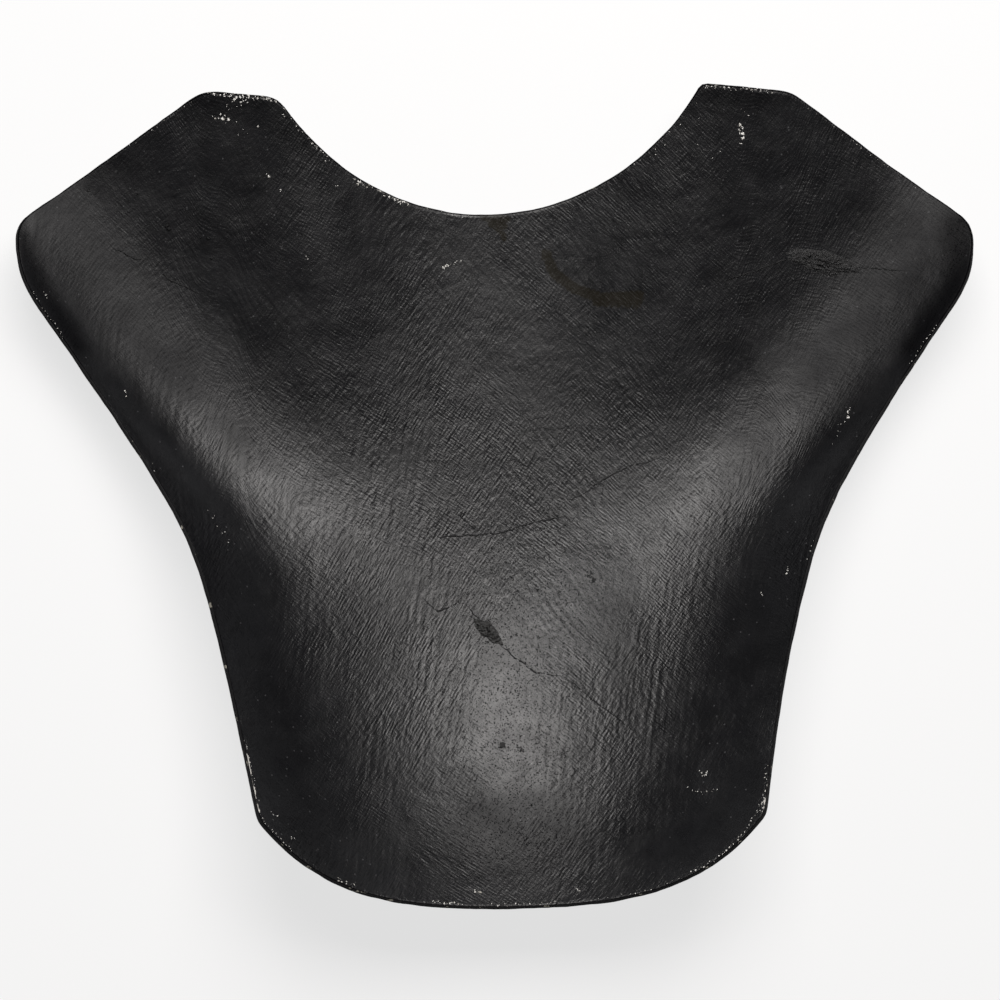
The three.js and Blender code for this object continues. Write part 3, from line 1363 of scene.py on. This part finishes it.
@dataclass(frozen=True)
class FaceMarks:
    """Stains, smudges, resin-rich places and worn margins of the inner face."""

    stains: tuple[Patch, ...] = (
        Patch(((484, 217), (506, 219)), 5, 0.9),
        Patch(((492, 224), (504, 226)), 5, 0.9),
        Patch(((500, 230), (505, 239)), 4, 0.8),
        Patch(((546, 254), (554, 273), (573, 288), (600, 298), (640, 296)), 6, 0.95),
        Patch(((596, 303), (638, 306)), 5, 0.7),
    )
    smudges: tuple[Patch, ...] = (
        Patch(((499, 745), (503, 746)), 6, 1.0),
        Patch(((520, 749), (522, 752)), 5, 0.9),
        Patch(((588, 572), (593, 580)), 7, 0.8),
        Patch(((484, 562), (492, 568)), 8, 0.7),
        Patch(((472, 605), (478, 612)), 5, 0.6),
        Patch(((518, 602), (520, 606)), 5, 0.6),
        Patch(((545, 620), (552, 628)), 6, 0.5),
        Patch(((455, 757), (466, 770)), 7, 0.6),
        Patch(((452, 700), (460, 712)), 7, 0.5),
        Patch(((470, 455), (480, 460)), 8, 0.5),
    )
    smooth: tuple[Patch, ...] = (
        Patch(((84, 184), (100, 196), (106, 206)), 11, 1.0),
        Patch(((170, 228), (171, 229)), 9, 0.9),
        Patch(((205, 236), (205, 258)), 8, 0.8),
        Patch(((90, 220), (300, 270), (700, 270), (910, 220)), 120, 0.38),
        Patch(((240, 130), (250, 200)), 60, 0.6),
        Patch(((760, 130), (750, 200)), 64, 0.6),
        Patch(((262, 620), (300, 800)), 44, 0.60),
        Patch(((742, 620), (705, 740), (670, 790)), 46, 0.70),
        Patch(((246, 770), (268, 820)), 26, 1.0),
        Patch(((640, 850), (710, 830), (745, 780)), 30, 1.0),
        Patch(((30, 250), (130, 390), (200, 500)), 24, 0.9),
        Patch(((968, 250), (870, 390), (800, 500)), 24, 0.9),
        Patch(((735, 450), (745, 380), (792, 300)), 36, 0.40),
        Patch(((498, 560), (505, 640)), 44, 0.35),
    )
    pitted: tuple[Patch, ...] = (
        Patch(((530, 560), (510, 660), (515, 800)), 95, 1.0),
        Patch(((650, 505), (715, 500)), 34, 0.2),
        Patch(((300, 500), (345, 495)), 32, 0.1),
    )
    worn: tuple[Patch, ...] = (
        Patch(((207, 90), (240, 91), (274, 97), (290, 112), (312, 140), (330, 160)), 16, 0.75),
        Patch(((356, 184), (372, 193), (390, 203), (408, 209)), 14, 0.9),
        Patch(((704, 87), (740, 88), (772, 92)), 14, 0.7),
        Patch(((250, 762), (256, 785), (262, 806)), 14, 1.20),
        Patch(((330, 865), (352, 880), (380, 890)), 14, 0.5),
        Patch(((430, 900), (480, 905), (560, 905), (585, 902)), 14, 0.55),
        Patch(((700, 872), (722, 858), (745, 838), (762, 812), (768, 780)), 14, 0.95),
        Patch(((30, 270), (38, 300), (60, 336)), 12, 0.7),
        Patch(((905, 368), (930, 330), (948, 305)), 12, 0.6),
        Patch(((762, 590), (790, 560), (812, 535), (832, 480)), 12, 0.45),
    )
    eased: tuple[Patch, ...] = (
        Patch(((170, 350), (240, 430), (280, 475)), 50, 0.40),
        Patch(((840, 350), (765, 430), (722, 475)), 50, 0.40),
    )
    dull: tuple[Patch, ...] = (
        Patch(((50, 212), (132, 312), (180, 370)), 46, 1.0),
        Patch(((950, 212), (862, 318), (822, 368)), 48, 1.0),
        Patch(((180, 370), (245, 435)), 44, 0.5),
        Patch(((822, 368), (748, 450)), 46, 0.4),
        Patch(((470, 815), (560, 825)), 34, 0.6),
    )
    # Painted shade: patches of a matt dark veil on the flanks, walls and edges where the surface falls into
    # shade.
    matt: tuple[Patch, ...] = (
        Patch(((960, 225), (952, 285), (912, 345)), 22, 0.75),
        Patch(((24, 240), (42, 285), (76, 345)), 15, 0.65),
        Patch(((62, 262), (112, 338), (172, 428)), 18, 0.32),
        Patch(((930, 262), (884, 342), (836, 415), (796, 458)), 24, 0.42),
        Patch(((345, 560), (352, 625)), 34, 0.20),
        Patch(((722, 520), (752, 455), (765, 415)), 28, 0.22),
        Patch(((855, 215), (905, 232)), 28, 0.25),
        Patch(((440, 850), (540, 865)), 26, 0.22),
        Patch(((285, 700), (300, 800)), 36, 0.30),
        Patch(((300, 825), (318, 845)), 34, 0.35),
        Patch(((195, 100), (275, 105), (300, 135)), 20, 0.45),
        Patch(((700, 92), (760, 95)), 22, 0.45),
        Patch(((520, 850), (590, 845), (650, 815)), 22, 0.22),
        Patch(((100, 175), (130, 150)), 26, 0.35),
    )

    def paint(self, shell: CoverShell, view: PhotoView, points: np.ndarray) -> dict[Mark, np.ndarray]:
        """Works out each mark's strength at the shell's points.

        Args:
            shell: The shell that carries the marks.
            view: The camera, for their places.
            points: The shell's points.

        Returns:
            One number for each point, by mark.
        """
        groups = {
            Mark.STAIN: self.stains,
            Mark.SMUDGE: self.smudges,
            Mark.SMOOTH: self.smooth,
            Mark.PITTED: self.pitted,
            Mark.WORN: self.worn,
            Mark.EASED: self.eased,
            Mark.DULL: self.dull,
            Mark.SHADE_VEIL: self.matt,
        }
        scale = view.distance * view.sensor / view.lens / view.side
        painted = {}
        for mark, patches in groups.items():
            values = np.zeros(len(points), np.float32)
            for patch in patches:
                line = np.array([shell.spot(view, p)[0] for p in patch.path])
                gap = self.distance(points, line)
                soft = np.exp(-((gap / (patch.radius * scale)) ** 2)) * patch.strength
                values = np.maximum(values, soft)
            painted[mark] = values
        return painted

    @staticmethod
    def distance(points: np.ndarray, line: np.ndarray) -> np.ndarray:
        """Distance from each point to a line of straight pieces.

        Args:
            points: The points.
            line: Corners of the line.

        Returns:
            The distances.
        """
        nearest = np.full(len(points), np.inf)
        for start, end in zip(line[:-1], line[1:]):
            run = end - start
            share = np.clip((points - start) @ run / max(float(run @ run), 1e-12), 0, 1)
            gap = np.linalg.norm(points - (start + share[:, None] * run), axis=1)
            nearest = np.minimum(nearest, gap)
        return nearest


@dataclass(frozen=True)
class Run:
    """A row of small things along a path.

    Attributes:
        path: Pixels that it follows.
        count: How many things there are.
        spread: How far they stray from it, in pixels.
        size: Their largest diameter, in pixels.
        inset: Distance of the path from the rim, in pixels, where it follows the rim.
    """

    path: tuple[Pixel, ...]
    count: int
    spread: float
    size: float
    inset: Optional[float] = None


@dataclass
class Scatter:
    """Small flat pieces that lie on the inner face along their runs.

    Attributes:
        name: Name of the piece.
        runs: Where they lie.
        finish: Their material.
        thickness: Share of their diameter that stands proud.
        seed: Seed of their places and sizes.
        sides: Corners of one of them.
    """

    name: str
    runs: tuple[Run, ...]
    finish: bpy.types.Material
    thickness: float
    seed: int
    sides: int = 8

    def build(self, shell: CoverShell, view: PhotoView) -> bpy.types.Object:
        """Scatters the pieces.

        Args:
            shell: The shell that carries them.
            view: The camera, for their places.

        Returns:
            The finished piece.
        """
        piece = new_object(self.name, self.paths(shell, view))
        shapes = self.shapes()
        work = self.scatter_tree()
        work.apply(
            piece,
            {"Shell": shell.piece, "Shapes": shapes, "Seed": self.seed, "Finish": self.finish},
        )
        for shape in list(shapes.objects):
            bpy.data.objects.remove(shape)
        bpy.data.collections.remove(shapes)
        declare(piece)
        return piece

    def paths(self, shell: CoverShell, view: PhotoView) -> bpy.types.Mesh:
        """Lays the runs' paths on the shell, with their numbers on their points.

        Args:
            shell: The shell.
            view: The camera.

        Returns:
            A mesh of edges.
        """
        scale = view.distance * view.sensor / view.lens / view.side
        points: list[Vector] = []
        edges: list[tuple[int, int]] = []
        values: dict[str, list[float]] = {"count": [], "spread": [], "size": []}
        for run in self.runs:
            first = len(points)
            places = [shell.spot(view, p)[0] for p in filled(run.path)]
            if run.inset is not None:
                places = [shell.beside_rim(p, run.inset * scale) for p in places]
            points += places
            edges += [(i, i + 1) for i in range(first, len(points) - 1)]
            values["count"] += [run.count] * len(places)
            values["spread"] += [run.spread * scale] * len(places)
            values["size"] += [run.size * scale] * len(places)
        mesh = bpy.data.meshes.new("paths")
        mesh.from_pydata(points, edges, [])
        for name, numbers in values.items():
            CoverShell.write(mesh, name, np.array(numbers))
        return mesh

    def shapes(self) -> bpy.types.Collection:
        """Makes four uneven flat shapes of diameter 1.

        Returns:
            The collection that holds them.
        """
        chance = np.random.default_rng(self.seed)
        group = bpy.data.collections.new("shapes")
        for number in range(4):
            reach = chance.uniform(0.17, 0.5, self.sides)
            turns = np.arange(self.sides) * 2 * math.pi / self.sides
            ring = [(r * math.cos(t), r * math.sin(t), 0.0) for r, t in zip(reach, turns)]
            brow = [(x * 0.55, y * 0.55, self.thickness) for x, y, _ in ring]
            foot = [(x * 0.55, y * 0.55, -self.thickness) for x, y, _ in ring]
            n = self.sides
            faces = [tuple(range(n, 2 * n)), tuple(range(3 * n - 1, 2 * n - 1, -1))]
            for i in range(n):
                j = (i + 1) % n
                faces += [(i, j, n + j, n + i), (j, i, 2 * n + i, 2 * n + j)]
            mesh = bpy.data.meshes.new(f"shape_{number}")
            mesh.from_pydata(ring + brow + foot, [], faces)
            group.objects.link(bpy.data.objects.new(f"shape_{number}", mesh))
        return group

    @staticmethod
    def scatter_tree() -> GeometryWork:
        """Builds the tree that puts shapes along the paths and beds them on the shell.

        Returns:
            The tree.
        """
        work = GeometryWork(
            "scatter_on_shell",
            {
                "Shell": ("NodeSocketObject", None),
                "Shapes": ("NodeSocketCollection", None),
                "Seed": ("NodeSocketInt", 1),
                "Smallest": ("NodeSocketFloat", 0.35),
                "Finish": ("NodeSocketMaterial", None),
            },
        )
        seed = work.input("Seed")
        line = work.node("GeometryNodeMeshToCurve", inputs={0: work.input("Geometry")})
        count = work.named("count")
        even = work.node("GeometryNodeResampleCurve", {"mode": "COUNT"}, {"Curve": line, "Count": count})
        dots = work.node("GeometryNodeCurveToPoints", {"mode": "EVALUATED"}, {0: even})
        stray = work.node(
            "FunctionNodeRandomValue",
            {"data_type": "FLOAT_VECTOR"},
            {0: (-1.0, -1.0, -1.0), 1: (1.0, 1.0, 1.0), "Seed": seed},
        )
        offset = work.node(
            "ShaderNodeVectorMath", {"operation": "SCALE"}, {0: stray, "Scale": work.named("spread")}
        )
        strewn = work.node("GeometryNodeSetPosition", inputs={"Geometry": dots, "Offset": offset})
        base = work.node("GeometryNodeObjectInfo", inputs={0: work.input("Shell")}, output="Geometry")
        near = work.node("GeometryNodeProximity", {"target_element": "FACES"}, {0: base}, "Position")
        bedded = work.node("GeometryNodeSetPosition", inputs={"Geometry": strewn, "Position": near})
        normal = work.node("GeometryNodeInputNormal")
        upright = work.node(
            "GeometryNodeSampleNearestSurface",
            {"data_type": "FLOAT_VECTOR"},
            {"Mesh": base, "Value": normal},
        )
        facing = work.node("FunctionNodeAlignRotationToVector", {"axis": "Z"}, {"Vector": upright})
        spin = work.node(
            "FunctionNodeRandomValue", {"data_type": "FLOAT"}, {2: 0.0, 3: 2 * math.pi, "Seed": seed + 1}, 1
        )
        turn = work.node(
            "FunctionNodeAxisAngleToRotation", inputs={"Axis": (0.0, 0.0, 1.0), "Angle": spin}
        )
        turned = work.node(
            "FunctionNodeRotateRotation",
            {"rotation_space": "LOCAL"},
            {"Rotation": facing, "Rotate By": turn},
        )
        share = work.node(
            "FunctionNodeRandomValue",
            {"data_type": "FLOAT"},
            {2: work.input("Smallest"), 3: 1.0, "Seed": seed + 2},
            1,
        )
        long = work.node(
            "FunctionNodeRandomValue", {"data_type": "FLOAT"}, {2: 0.45, 3: 1.0, "Seed": seed + 3}, 1
        )
        wide = share * work.named("size")
        scale = work.node("ShaderNodeCombineXYZ", inputs={0: wide, 1: wide * long, 2: wide})
        kinds = work.node(
            "GeometryNodeCollectionInfo",
            inputs={"Collection": work.input("Shapes"), "Separate Children": True, "Reset Children": True},
        )
        laid = work.node(
            "GeometryNodeInstanceOnPoints",
            inputs={
                "Points": bedded,
                "Instance": kinds,
                "Pick Instance": True,
                "Rotation": turned,
                "Scale": scale,
            },
        )
        work.end(laid, {"Finish": None})
        return work


def filled(path: Sequence[Pixel], step: float = 6.0) -> list[Pixel]:
    """Adds pixels to a path so that it follows the surface.

    Args:
        path: Its corners.
        step: Largest distance between two pixels.

    Returns:
        The corners and the pixels between them.
    """
    made: list[Pixel] = []
    for start, end in zip(path[:-1], path[1:]):
        cuts = max(1, math.ceil(math.dist(start, end) / step))
        made += [
            (start[0] + (end[0] - start[0]) * i / cuts, start[1] + (end[1] - start[1]) * i / cuts)
            for i in range(cuts)
        ]
    return made + [path[-1]]


CHIPS = (
    Run(((207, 91), (232, 90), (252, 93), (274, 98)), 46, 2.2, 3.2, 1.5),
    Run(((236, 96), (243, 99)), 16, 5.0, 4.2),
    Run(((232, 104), (252, 100)), 8, 5.0, 2.6),
    Run(((221, 116), (227, 119)), 9, 3.0, 4.0),
    Run(((214, 117), (216, 118)), 3, 2.0, 3.0),
    Run(((262, 100), (272, 98)), 6, 3.0, 2.6),
    Run(((258, 125), (259, 126)), 2, 1.0, 2.6),
    Run(((216, 100), (250, 150)), 14, 14.0, 1.8),
    Run(((267, 175), (269, 176)), 3, 1.5, 3.6),
    Run(((280, 190), (281, 191)), 2, 0.8, 3.4),
    Run(((306, 257), (307, 259)), 2, 1.0, 3.8),
    Run(((284, 111), (300, 128), (318, 148)), 18, 2.6, 2.6, 3.0),
    Run(((318, 146), (330, 160)), 7, 2.6, 2.4, 3.0),
    Run(((356, 182), (364, 188), (370, 192)), 16, 3.0, 4.0, 3.0),
    Run(((384, 198), (408, 207)), 18, 2.2, 3.2, 2.0),
    Run(((336, 185), (337, 186)), 2, 1.2, 2.4),
    Run(((443, 268), (446, 265)), 5, 1.2, 3.4),
    Run(((447, 266), (454, 263), (462, 261)), 8, 1.4, 2.6),
    Run(((428, 214), (470, 217)), 8, 2.0, 1.8, 2.0),
    Run(((704, 87), (736, 88), (772, 93)), 34, 2.0, 2.8, 1.5),
    Run(((741, 125), (742, 142)), 16, 2.4, 4.6),
    Run(((738, 108), (746, 118)), 3, 3.0, 2.2),
    Run(((680, 132), (664, 152), (641, 176)), 9, 5.0, 2.0, 6.0),
    Run(((845, 125), (900, 165)), 6, 7.0, 1.6),
    Run(((690, 115), (720, 165)), 10, 12.0, 1.5),
    Run(((45, 294), (47, 297)), 4, 2.0, 3.0),
    Run(((125, 391), (126, 396)), 4, 1.5, 3.0),
    Run(((210, 512), (222, 530), (232, 545)), 8, 3.5, 2.2),
    Run(((851, 408), (846, 419)), 7, 1.8, 4.2),
    Run(((843, 420), (833, 445)), 9, 3.0, 2.2),
    Run(((813, 541), (807, 558)), 4, 2.0, 2.4),
    Run(((787, 567), (786, 575)), 5, 0.9, 3.4),
    Run(((761, 593), (763, 595)), 3, 0.9, 2.8),
    Run(((700, 771), (704, 777), (707, 771)), 9, 1.0, 2.8),
    Run(((689, 788), (698, 793), (709, 792), (717, 789)), 10, 1.4, 2.6),
    Run(((768, 766), (764, 782)), 7, 1.8, 2.4, 4.0),
    Run(((762, 803), (763, 812)), 8, 2.0, 3.4, 3.0),
    Run(((756, 824), (745, 840), (722, 855), (702, 871)), 34, 1.6, 2.8, 3.0),
    Run(((247, 742), (252, 768), (258, 800)), 24, 1.4, 2.2, 2.6),
    Run(((262, 812), (280, 834), (296, 846)), 16, 1.6, 2.4, 2.6),
    Run(((271, 813), (279, 816)), 4, 1.4, 2.6),
    Run(((291, 837), (294, 839)), 3, 1.2, 2.6),
    Run(((340, 866), (352, 885)), 9, 2.4, 3.0, 4.0),
    Run(((432, 902), (462, 904)), 15, 1.6, 3.4, 3.0),
    Run(((474, 890), (481, 892)), 6, 1.8, 3.8),
    Run(((575, 888), (580, 890)), 3, 1.4, 3.0),
    Run(((488, 907), (562, 907)), 18, 1.6, 2.4, 2.4),
    Run(((590, 903), (680, 878)), 14, 1.8, 2.2, 2.6),
    Run(((34, 290), (60, 338)), 18, 1.4, 2.0, 2.2),
    Run(((936, 325), (906, 362)), 14, 1.4, 2.0, 2.2),
    Run(((150, 420), (176, 470)), 5, 3.0, 1.8, 4.0),
    Run(((110, 150), (190, 95)), 12, 2.0, 1.6, 2.0),
    Run(((810, 105), (930, 185)), 14, 2.0, 1.6, 2.0),
)

BLOBS = (
    Run(((170, 227), (172, 230)), 3, 3.0, 9.0),
    Run(((137, 194), (139, 197)), 2, 2.0, 6.0),
    Run(((204, 236), (206, 258)), 6, 6.0, 6.0),
    Run(((84, 184), (104, 205)), 6, 8.0, 5.0),
    Run(((560, 548), (640, 520)), 9, 26.0, 3.2),
    Run(((520, 450), (600, 600)), 16, 60.0, 2.6),
    Run(((480, 780), (560, 830)), 12, 40.0, 2.6),
    Run(((350, 520), (300, 470)), 8, 30.0, 3.0),
)


@dataclass(frozen=True)
class Crease:
    """A crease or stray thread under the paint.

    Attributes:
        path: Pixels that it follows.
        width: Its width in pixels.
    """

    path: tuple[Pixel, ...]
    width: float


CREASES = (
    Crease(((430, 537), (462, 536), (500, 533), (535, 522), (567, 516)), 1.7),
    Crease(((463, 509), (461, 516), (470, 526), (481, 531)), 1.8),
    Crease(((567, 500), (584, 494), (600, 481), (628, 467), (660, 458)), 1.4),
    Crease(((513, 458), (527, 467), (537, 450)), 1.6),
    Crease(((535, 427), (556, 430), (580, 423)), 0.9),
    Crease(((423, 600), (438, 611), (448, 609), (458, 601), (465, 592)), 1.5),
    Crease(((466, 605), (472, 612), (480, 621)), 1.0),
    Crease(((498, 643), (515, 657), (535, 672), (560, 676)), 1.5),
    Crease(((560, 676), (575, 684), (590, 698), (612, 714), (640, 736)), 1.3),
    Crease(((720, 282), (752, 272), (790, 258), (803, 250), (815, 238)), 1.5),
    Crease(((858, 267), (880, 269), (905, 271)), 1.3),
    Crease(((702, 338), (716, 345), (724, 356), (718, 372)), 1.1),
    Crease(((716, 345), (730, 340), (735, 352)), 0.9),
    Crease(((724, 356), (708, 366), (700, 388)), 0.9),
    Crease(((115, 248), (128, 255), (141, 260)), 1.8),
    Crease(((161, 274), (178, 284), (200, 293)), 1.6),
    Crease(((512, 410), (530, 420), (548, 416)), 0.8),
    Crease(((690, 430), (668, 446), (664, 462)), 0.9),
    Crease(((300, 600), (306, 560), (318, 530)), 0.8),
)


@dataclass
class Creases:
    """Thin dark beads along the creases, half sunk in the inner face.

    Attributes:
        lines: The creases.
        finish: Their material.
        step: Distance between a bead's rings.
        wander: How far a bead strays from its line.
        sides: Corners of a bead's ring.
    """

    lines: tuple[Crease, ...]
    finish: bpy.types.Material
    step: float = 0.0008
    wander: float = 0.0006
    sides: int = 6

    def build(self, shell: CoverShell, view: PhotoView) -> bpy.types.Object:
        """Lays the beads.

        Args:
            shell: The shell that carries them.
            view: The camera, for their places.

        Returns:
            The finished piece.
        """
        scale = view.distance * view.sensor / view.lens / view.side
        points: list[Vector] = []
        edges: list[tuple[int, int]] = []
        radii: list[float] = []
        for line in self.lines:
            first = len(points)
            pixels = filled(line.path, 3.0)
            for i, pixel in enumerate(pixels):
                points.append(shell.spot(view, pixel)[0])
                taper = min(1.0, 0.35 + 4 * min(i, len(pixels) - 1 - i) / len(pixels))
                radii.append(line.width * scale / 2 * taper)
            edges += [(i, i + 1) for i in range(first, len(points) - 1)]
        mesh = bpy.data.meshes.new("crease_lines")
        mesh.from_pydata(points, edges, [])
        CoverShell.write(mesh, "radius", np.array(radii))
        piece = new_object("creases", mesh)
        self.bead_tree().apply(piece, {"Shell": shell.piece, "Finish": self.finish})
        declare(piece)
        return piece

    def bead_tree(self) -> GeometryWork:
        """Builds the tree that sweeps a ring along the lines.

        Returns:
            The tree.
        """
        work = GeometryWork(
            "beads_on_shell",
            {
                "Shell": ("NodeSocketObject", None),
                "Step": ("NodeSocketFloat", self.step),
                "Wander": ("NodeSocketFloat", self.wander),
                "Sides": ("NodeSocketInt", self.sides),
                "Seed": ("NodeSocketFloat", 5.0),
                "Finish": ("NodeSocketMaterial", None),
            },
        )
        line = work.node("GeometryNodeMeshToCurve", inputs={0: work.input("Geometry")})
        even = work.node(
            "GeometryNodeResampleCurve", {"mode": "LENGTH"}, {"Curve": line, "Length": work.input("Step")}
        )
        shake = work.node(
            "ShaderNodeTexNoise",
            {"noise_dimensions": "4D"},
            {"W": work.input("Seed"), "Scale": 320.0, "Detail": 2.0},
            "Color",
        )
        level = work.node("ShaderNodeVectorMath", {"operation": "SUBTRACT"}, {0: shake, 1: (0.5, 0.5, 0.5)})
        stray = work.node(
            "ShaderNodeVectorMath", {"operation": "SCALE"}, {0: level, "Scale": work.input("Wander") * 4}
        )
        strayed = work.node("GeometryNodeSetPosition", inputs={"Geometry": even, "Offset": stray})
        base = work.node("GeometryNodeObjectInfo", inputs={0: work.input("Shell")}, output="Geometry")
        near = work.node("GeometryNodeProximity", {"target_element": "FACES"}, {0: base}, "Position")
        bedded = work.node("GeometryNodeSetPosition", inputs={"Geometry": strayed, "Position": near})
        breaks = work.node(
            "ShaderNodeTexNoise", {"noise_dimensions": "4D"}, {"W": 9.0, "Scale": 260.0, "Detail": 2.0}
        )
        thick = work.named("radius") * (breaks * 1.3 + 0.35)
        ring = work.node(
            "GeometryNodeCurvePrimitiveCircle",
            {"mode": "RADIUS"},
            {"Resolution": work.input("Sides"), "Radius": 1.0},
        )
        sized = work.node("GeometryNodeSetCurveRadius", inputs={"Curve": bedded, "Radius": thick})
        swept = work.node(
            "GeometryNodeCurveToMesh",
            inputs={"Curve": sized, "Profile Curve": ring, "Fill Caps": True, "Scale": thick},
        )
        work.end(swept, {"Finish": None})
        return work


@dataclass
class RoughPatch:
    """A lens of crumpled resin that has dried on the inner face.

    Attributes:
        name: Name of the piece.
        start: Pixel of one point of the lens.
        end: Pixel of the other.
        half_width: Half its width, in pixels.
        rise: Height of its crumples.
        crumple: Size of its crumples.
        finish: Its material.
        seed: Place in the noise.
        rings: Rings from its middle to its margin.
        spokes: Points of a ring.
    """

    name: str
    start: Pixel
    end: Pixel
    half_width: float
    rise: float
    crumple: float
    finish: bpy.types.Material
    seed: float
    rings: int = 26
    spokes: int = 120

    def build(self, shell: CoverShell, view: PhotoView) -> bpy.types.Object:
        """Builds the lens ring by ring.

        Args:
            shell: The shell that carries it.
            view: The camera, for its place.

        Returns:
            The finished piece.
        """
        n, last = self.spokes, self.rings - 1
        top = [self.point(shell, view, ring, i, 1) for ring in range(self.rings) for i in range(n)]
        foot = [self.point(shell, view, ring, i, -1) for ring in (0, last) for i in range(n)]
        form = bmesh.new()
        upper = [form.verts.new(p) for p in top]
        lower = [form.verts.new(p) for p in foot]
        for ring in range(last):
            for i in range(n):
                j = (i + 1) % n
                a, b = ring * n, (ring + 1) * n
                form.faces.new((upper[a + i], upper[b + i], upper[b + j], upper[a + j]))
        margin = last * n
        for i in range(n):
            j = (i + 1) % n
            form.faces.new((upper[margin + i], lower[n + i], lower[n + j], upper[margin + j]))
            form.faces.new((lower[n + i], lower[i], lower[j], lower[n + j]))
        bmesh.ops.remove_doubles(form, verts=form.verts, dist=0.02 * MILLIMETRE)
        bmesh.ops.recalc_face_normals(form, faces=form.faces)
        mesh = bpy.data.meshes.new(self.name)
        form.to_mesh(mesh)
        form.free()
        mesh.shade_smooth()
        mesh.materials.append(self.finish)
        piece = new_object(self.name, mesh)
        declare(piece)
        return piece

    def point(self, shell: CoverShell, view: PhotoView, ring: int, spoke: int, side: int) -> Vector:
        """One point of the lens.

        Args:
            shell: The shell that carries it.
            view: The camera.
            ring: Number of its ring, from the middle.
            spoke: Its number in the ring.
            side: 1 on the crumpled face, -1 on the foot under the shell's face.

        Returns:
            The point.
        """
        share = ring / (self.rings - 1)
        turn = 2 * math.pi * spoke / self.spokes
        length = math.dist(self.start, self.end)
        edge = noise.noise(Vector((math.cos(turn) * 2.2, math.sin(turn) * 2.2, self.seed)))
        reach = share * (1 + 0.35 * edge)
        along = math.cos(turn) * reach * length / 2
        lens = self.half_width * (1 - 0.45 * abs(math.cos(turn)) ** 2)
        aside = math.sin(turn) * reach * lens
        ux, uy = (self.end[0] - self.start[0]) / length, (self.end[1] - self.start[1]) / length
        middle = ((self.start[0] + self.end[0]) / 2, (self.start[1] + self.end[1]) / 2)
        pixel = (middle[0] + ux * along - uy * aside, middle[1] + uy * along + ux * aside)
        place, normal = shell.spot(view, pixel)
        if side < 0:
            return place - normal * 0.25 * MILLIMETRE
        deep = noise.turbulence(place / self.crumple + Vector((0, 0, self.seed)), 3, True)
        lift = self.rise * (0.25 + 1.2 * deep) * (1 - share**3) - 0.1 * MILLIMETRE * share**3
        return place + normal * lift


def corners(box: Iterable[Vector]) -> list[list[float]]:
    """A box's two corners as plain lists of numbers."""
    return [[round(float(value), 6) for value in corner] for corner in box]


def main() -> None:
    """Builds the studio and the cover."""
    logging.basicConfig(level=logging.INFO, format="%(name)s: %(message)s")
    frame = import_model()

    view = PhotoView()
    view.build()
    Studio().build()

    shell = CoverShell()
    shell.build(frame["nodes"][NODE])
    shell.dress(FaceMarks(), view)

    filling = Resin("crease_filling", (0.006, 0.006, 0.007), 0.62, 0.0012, 0.00010, 0.40)
    crumpled = Resin("crumpled_resin", (0.016, 0.016, 0.017), 0.36, 0.0008, 0.00090)
    drops = Resin("painted_drops", (0.012, 0.012, 0.013), 0.27, 0.0020, 0.00010)
    Scatter("paint_chips", CHIPS, BareGlass().material(), 0.10, 11).build(shell, view)
    Scatter("resin_drops", BLOBS, drops.material(), 0.24, 23, 10).build(shell, view)
    Creases(CREASES, filling.material()).build(shell, view)
    torn = Resin("torn_resin", (0.040, 0.040, 0.039), 0.42, 0.0010, 0.00080)
    crust, tear = crumpled.material(), torn.material()
    RoughPatch("rough_patch", (783, 253), (862, 271), 12, 0.0009, 0.0013, crust, 3.0).build(shell, view)
    RoughPatch("torn_blister", (473, 618), (503, 645), 7.5, 0.0012, 0.0014, tear, 8.0).build(shell, view)


if __name__ == "__main__":
    main()
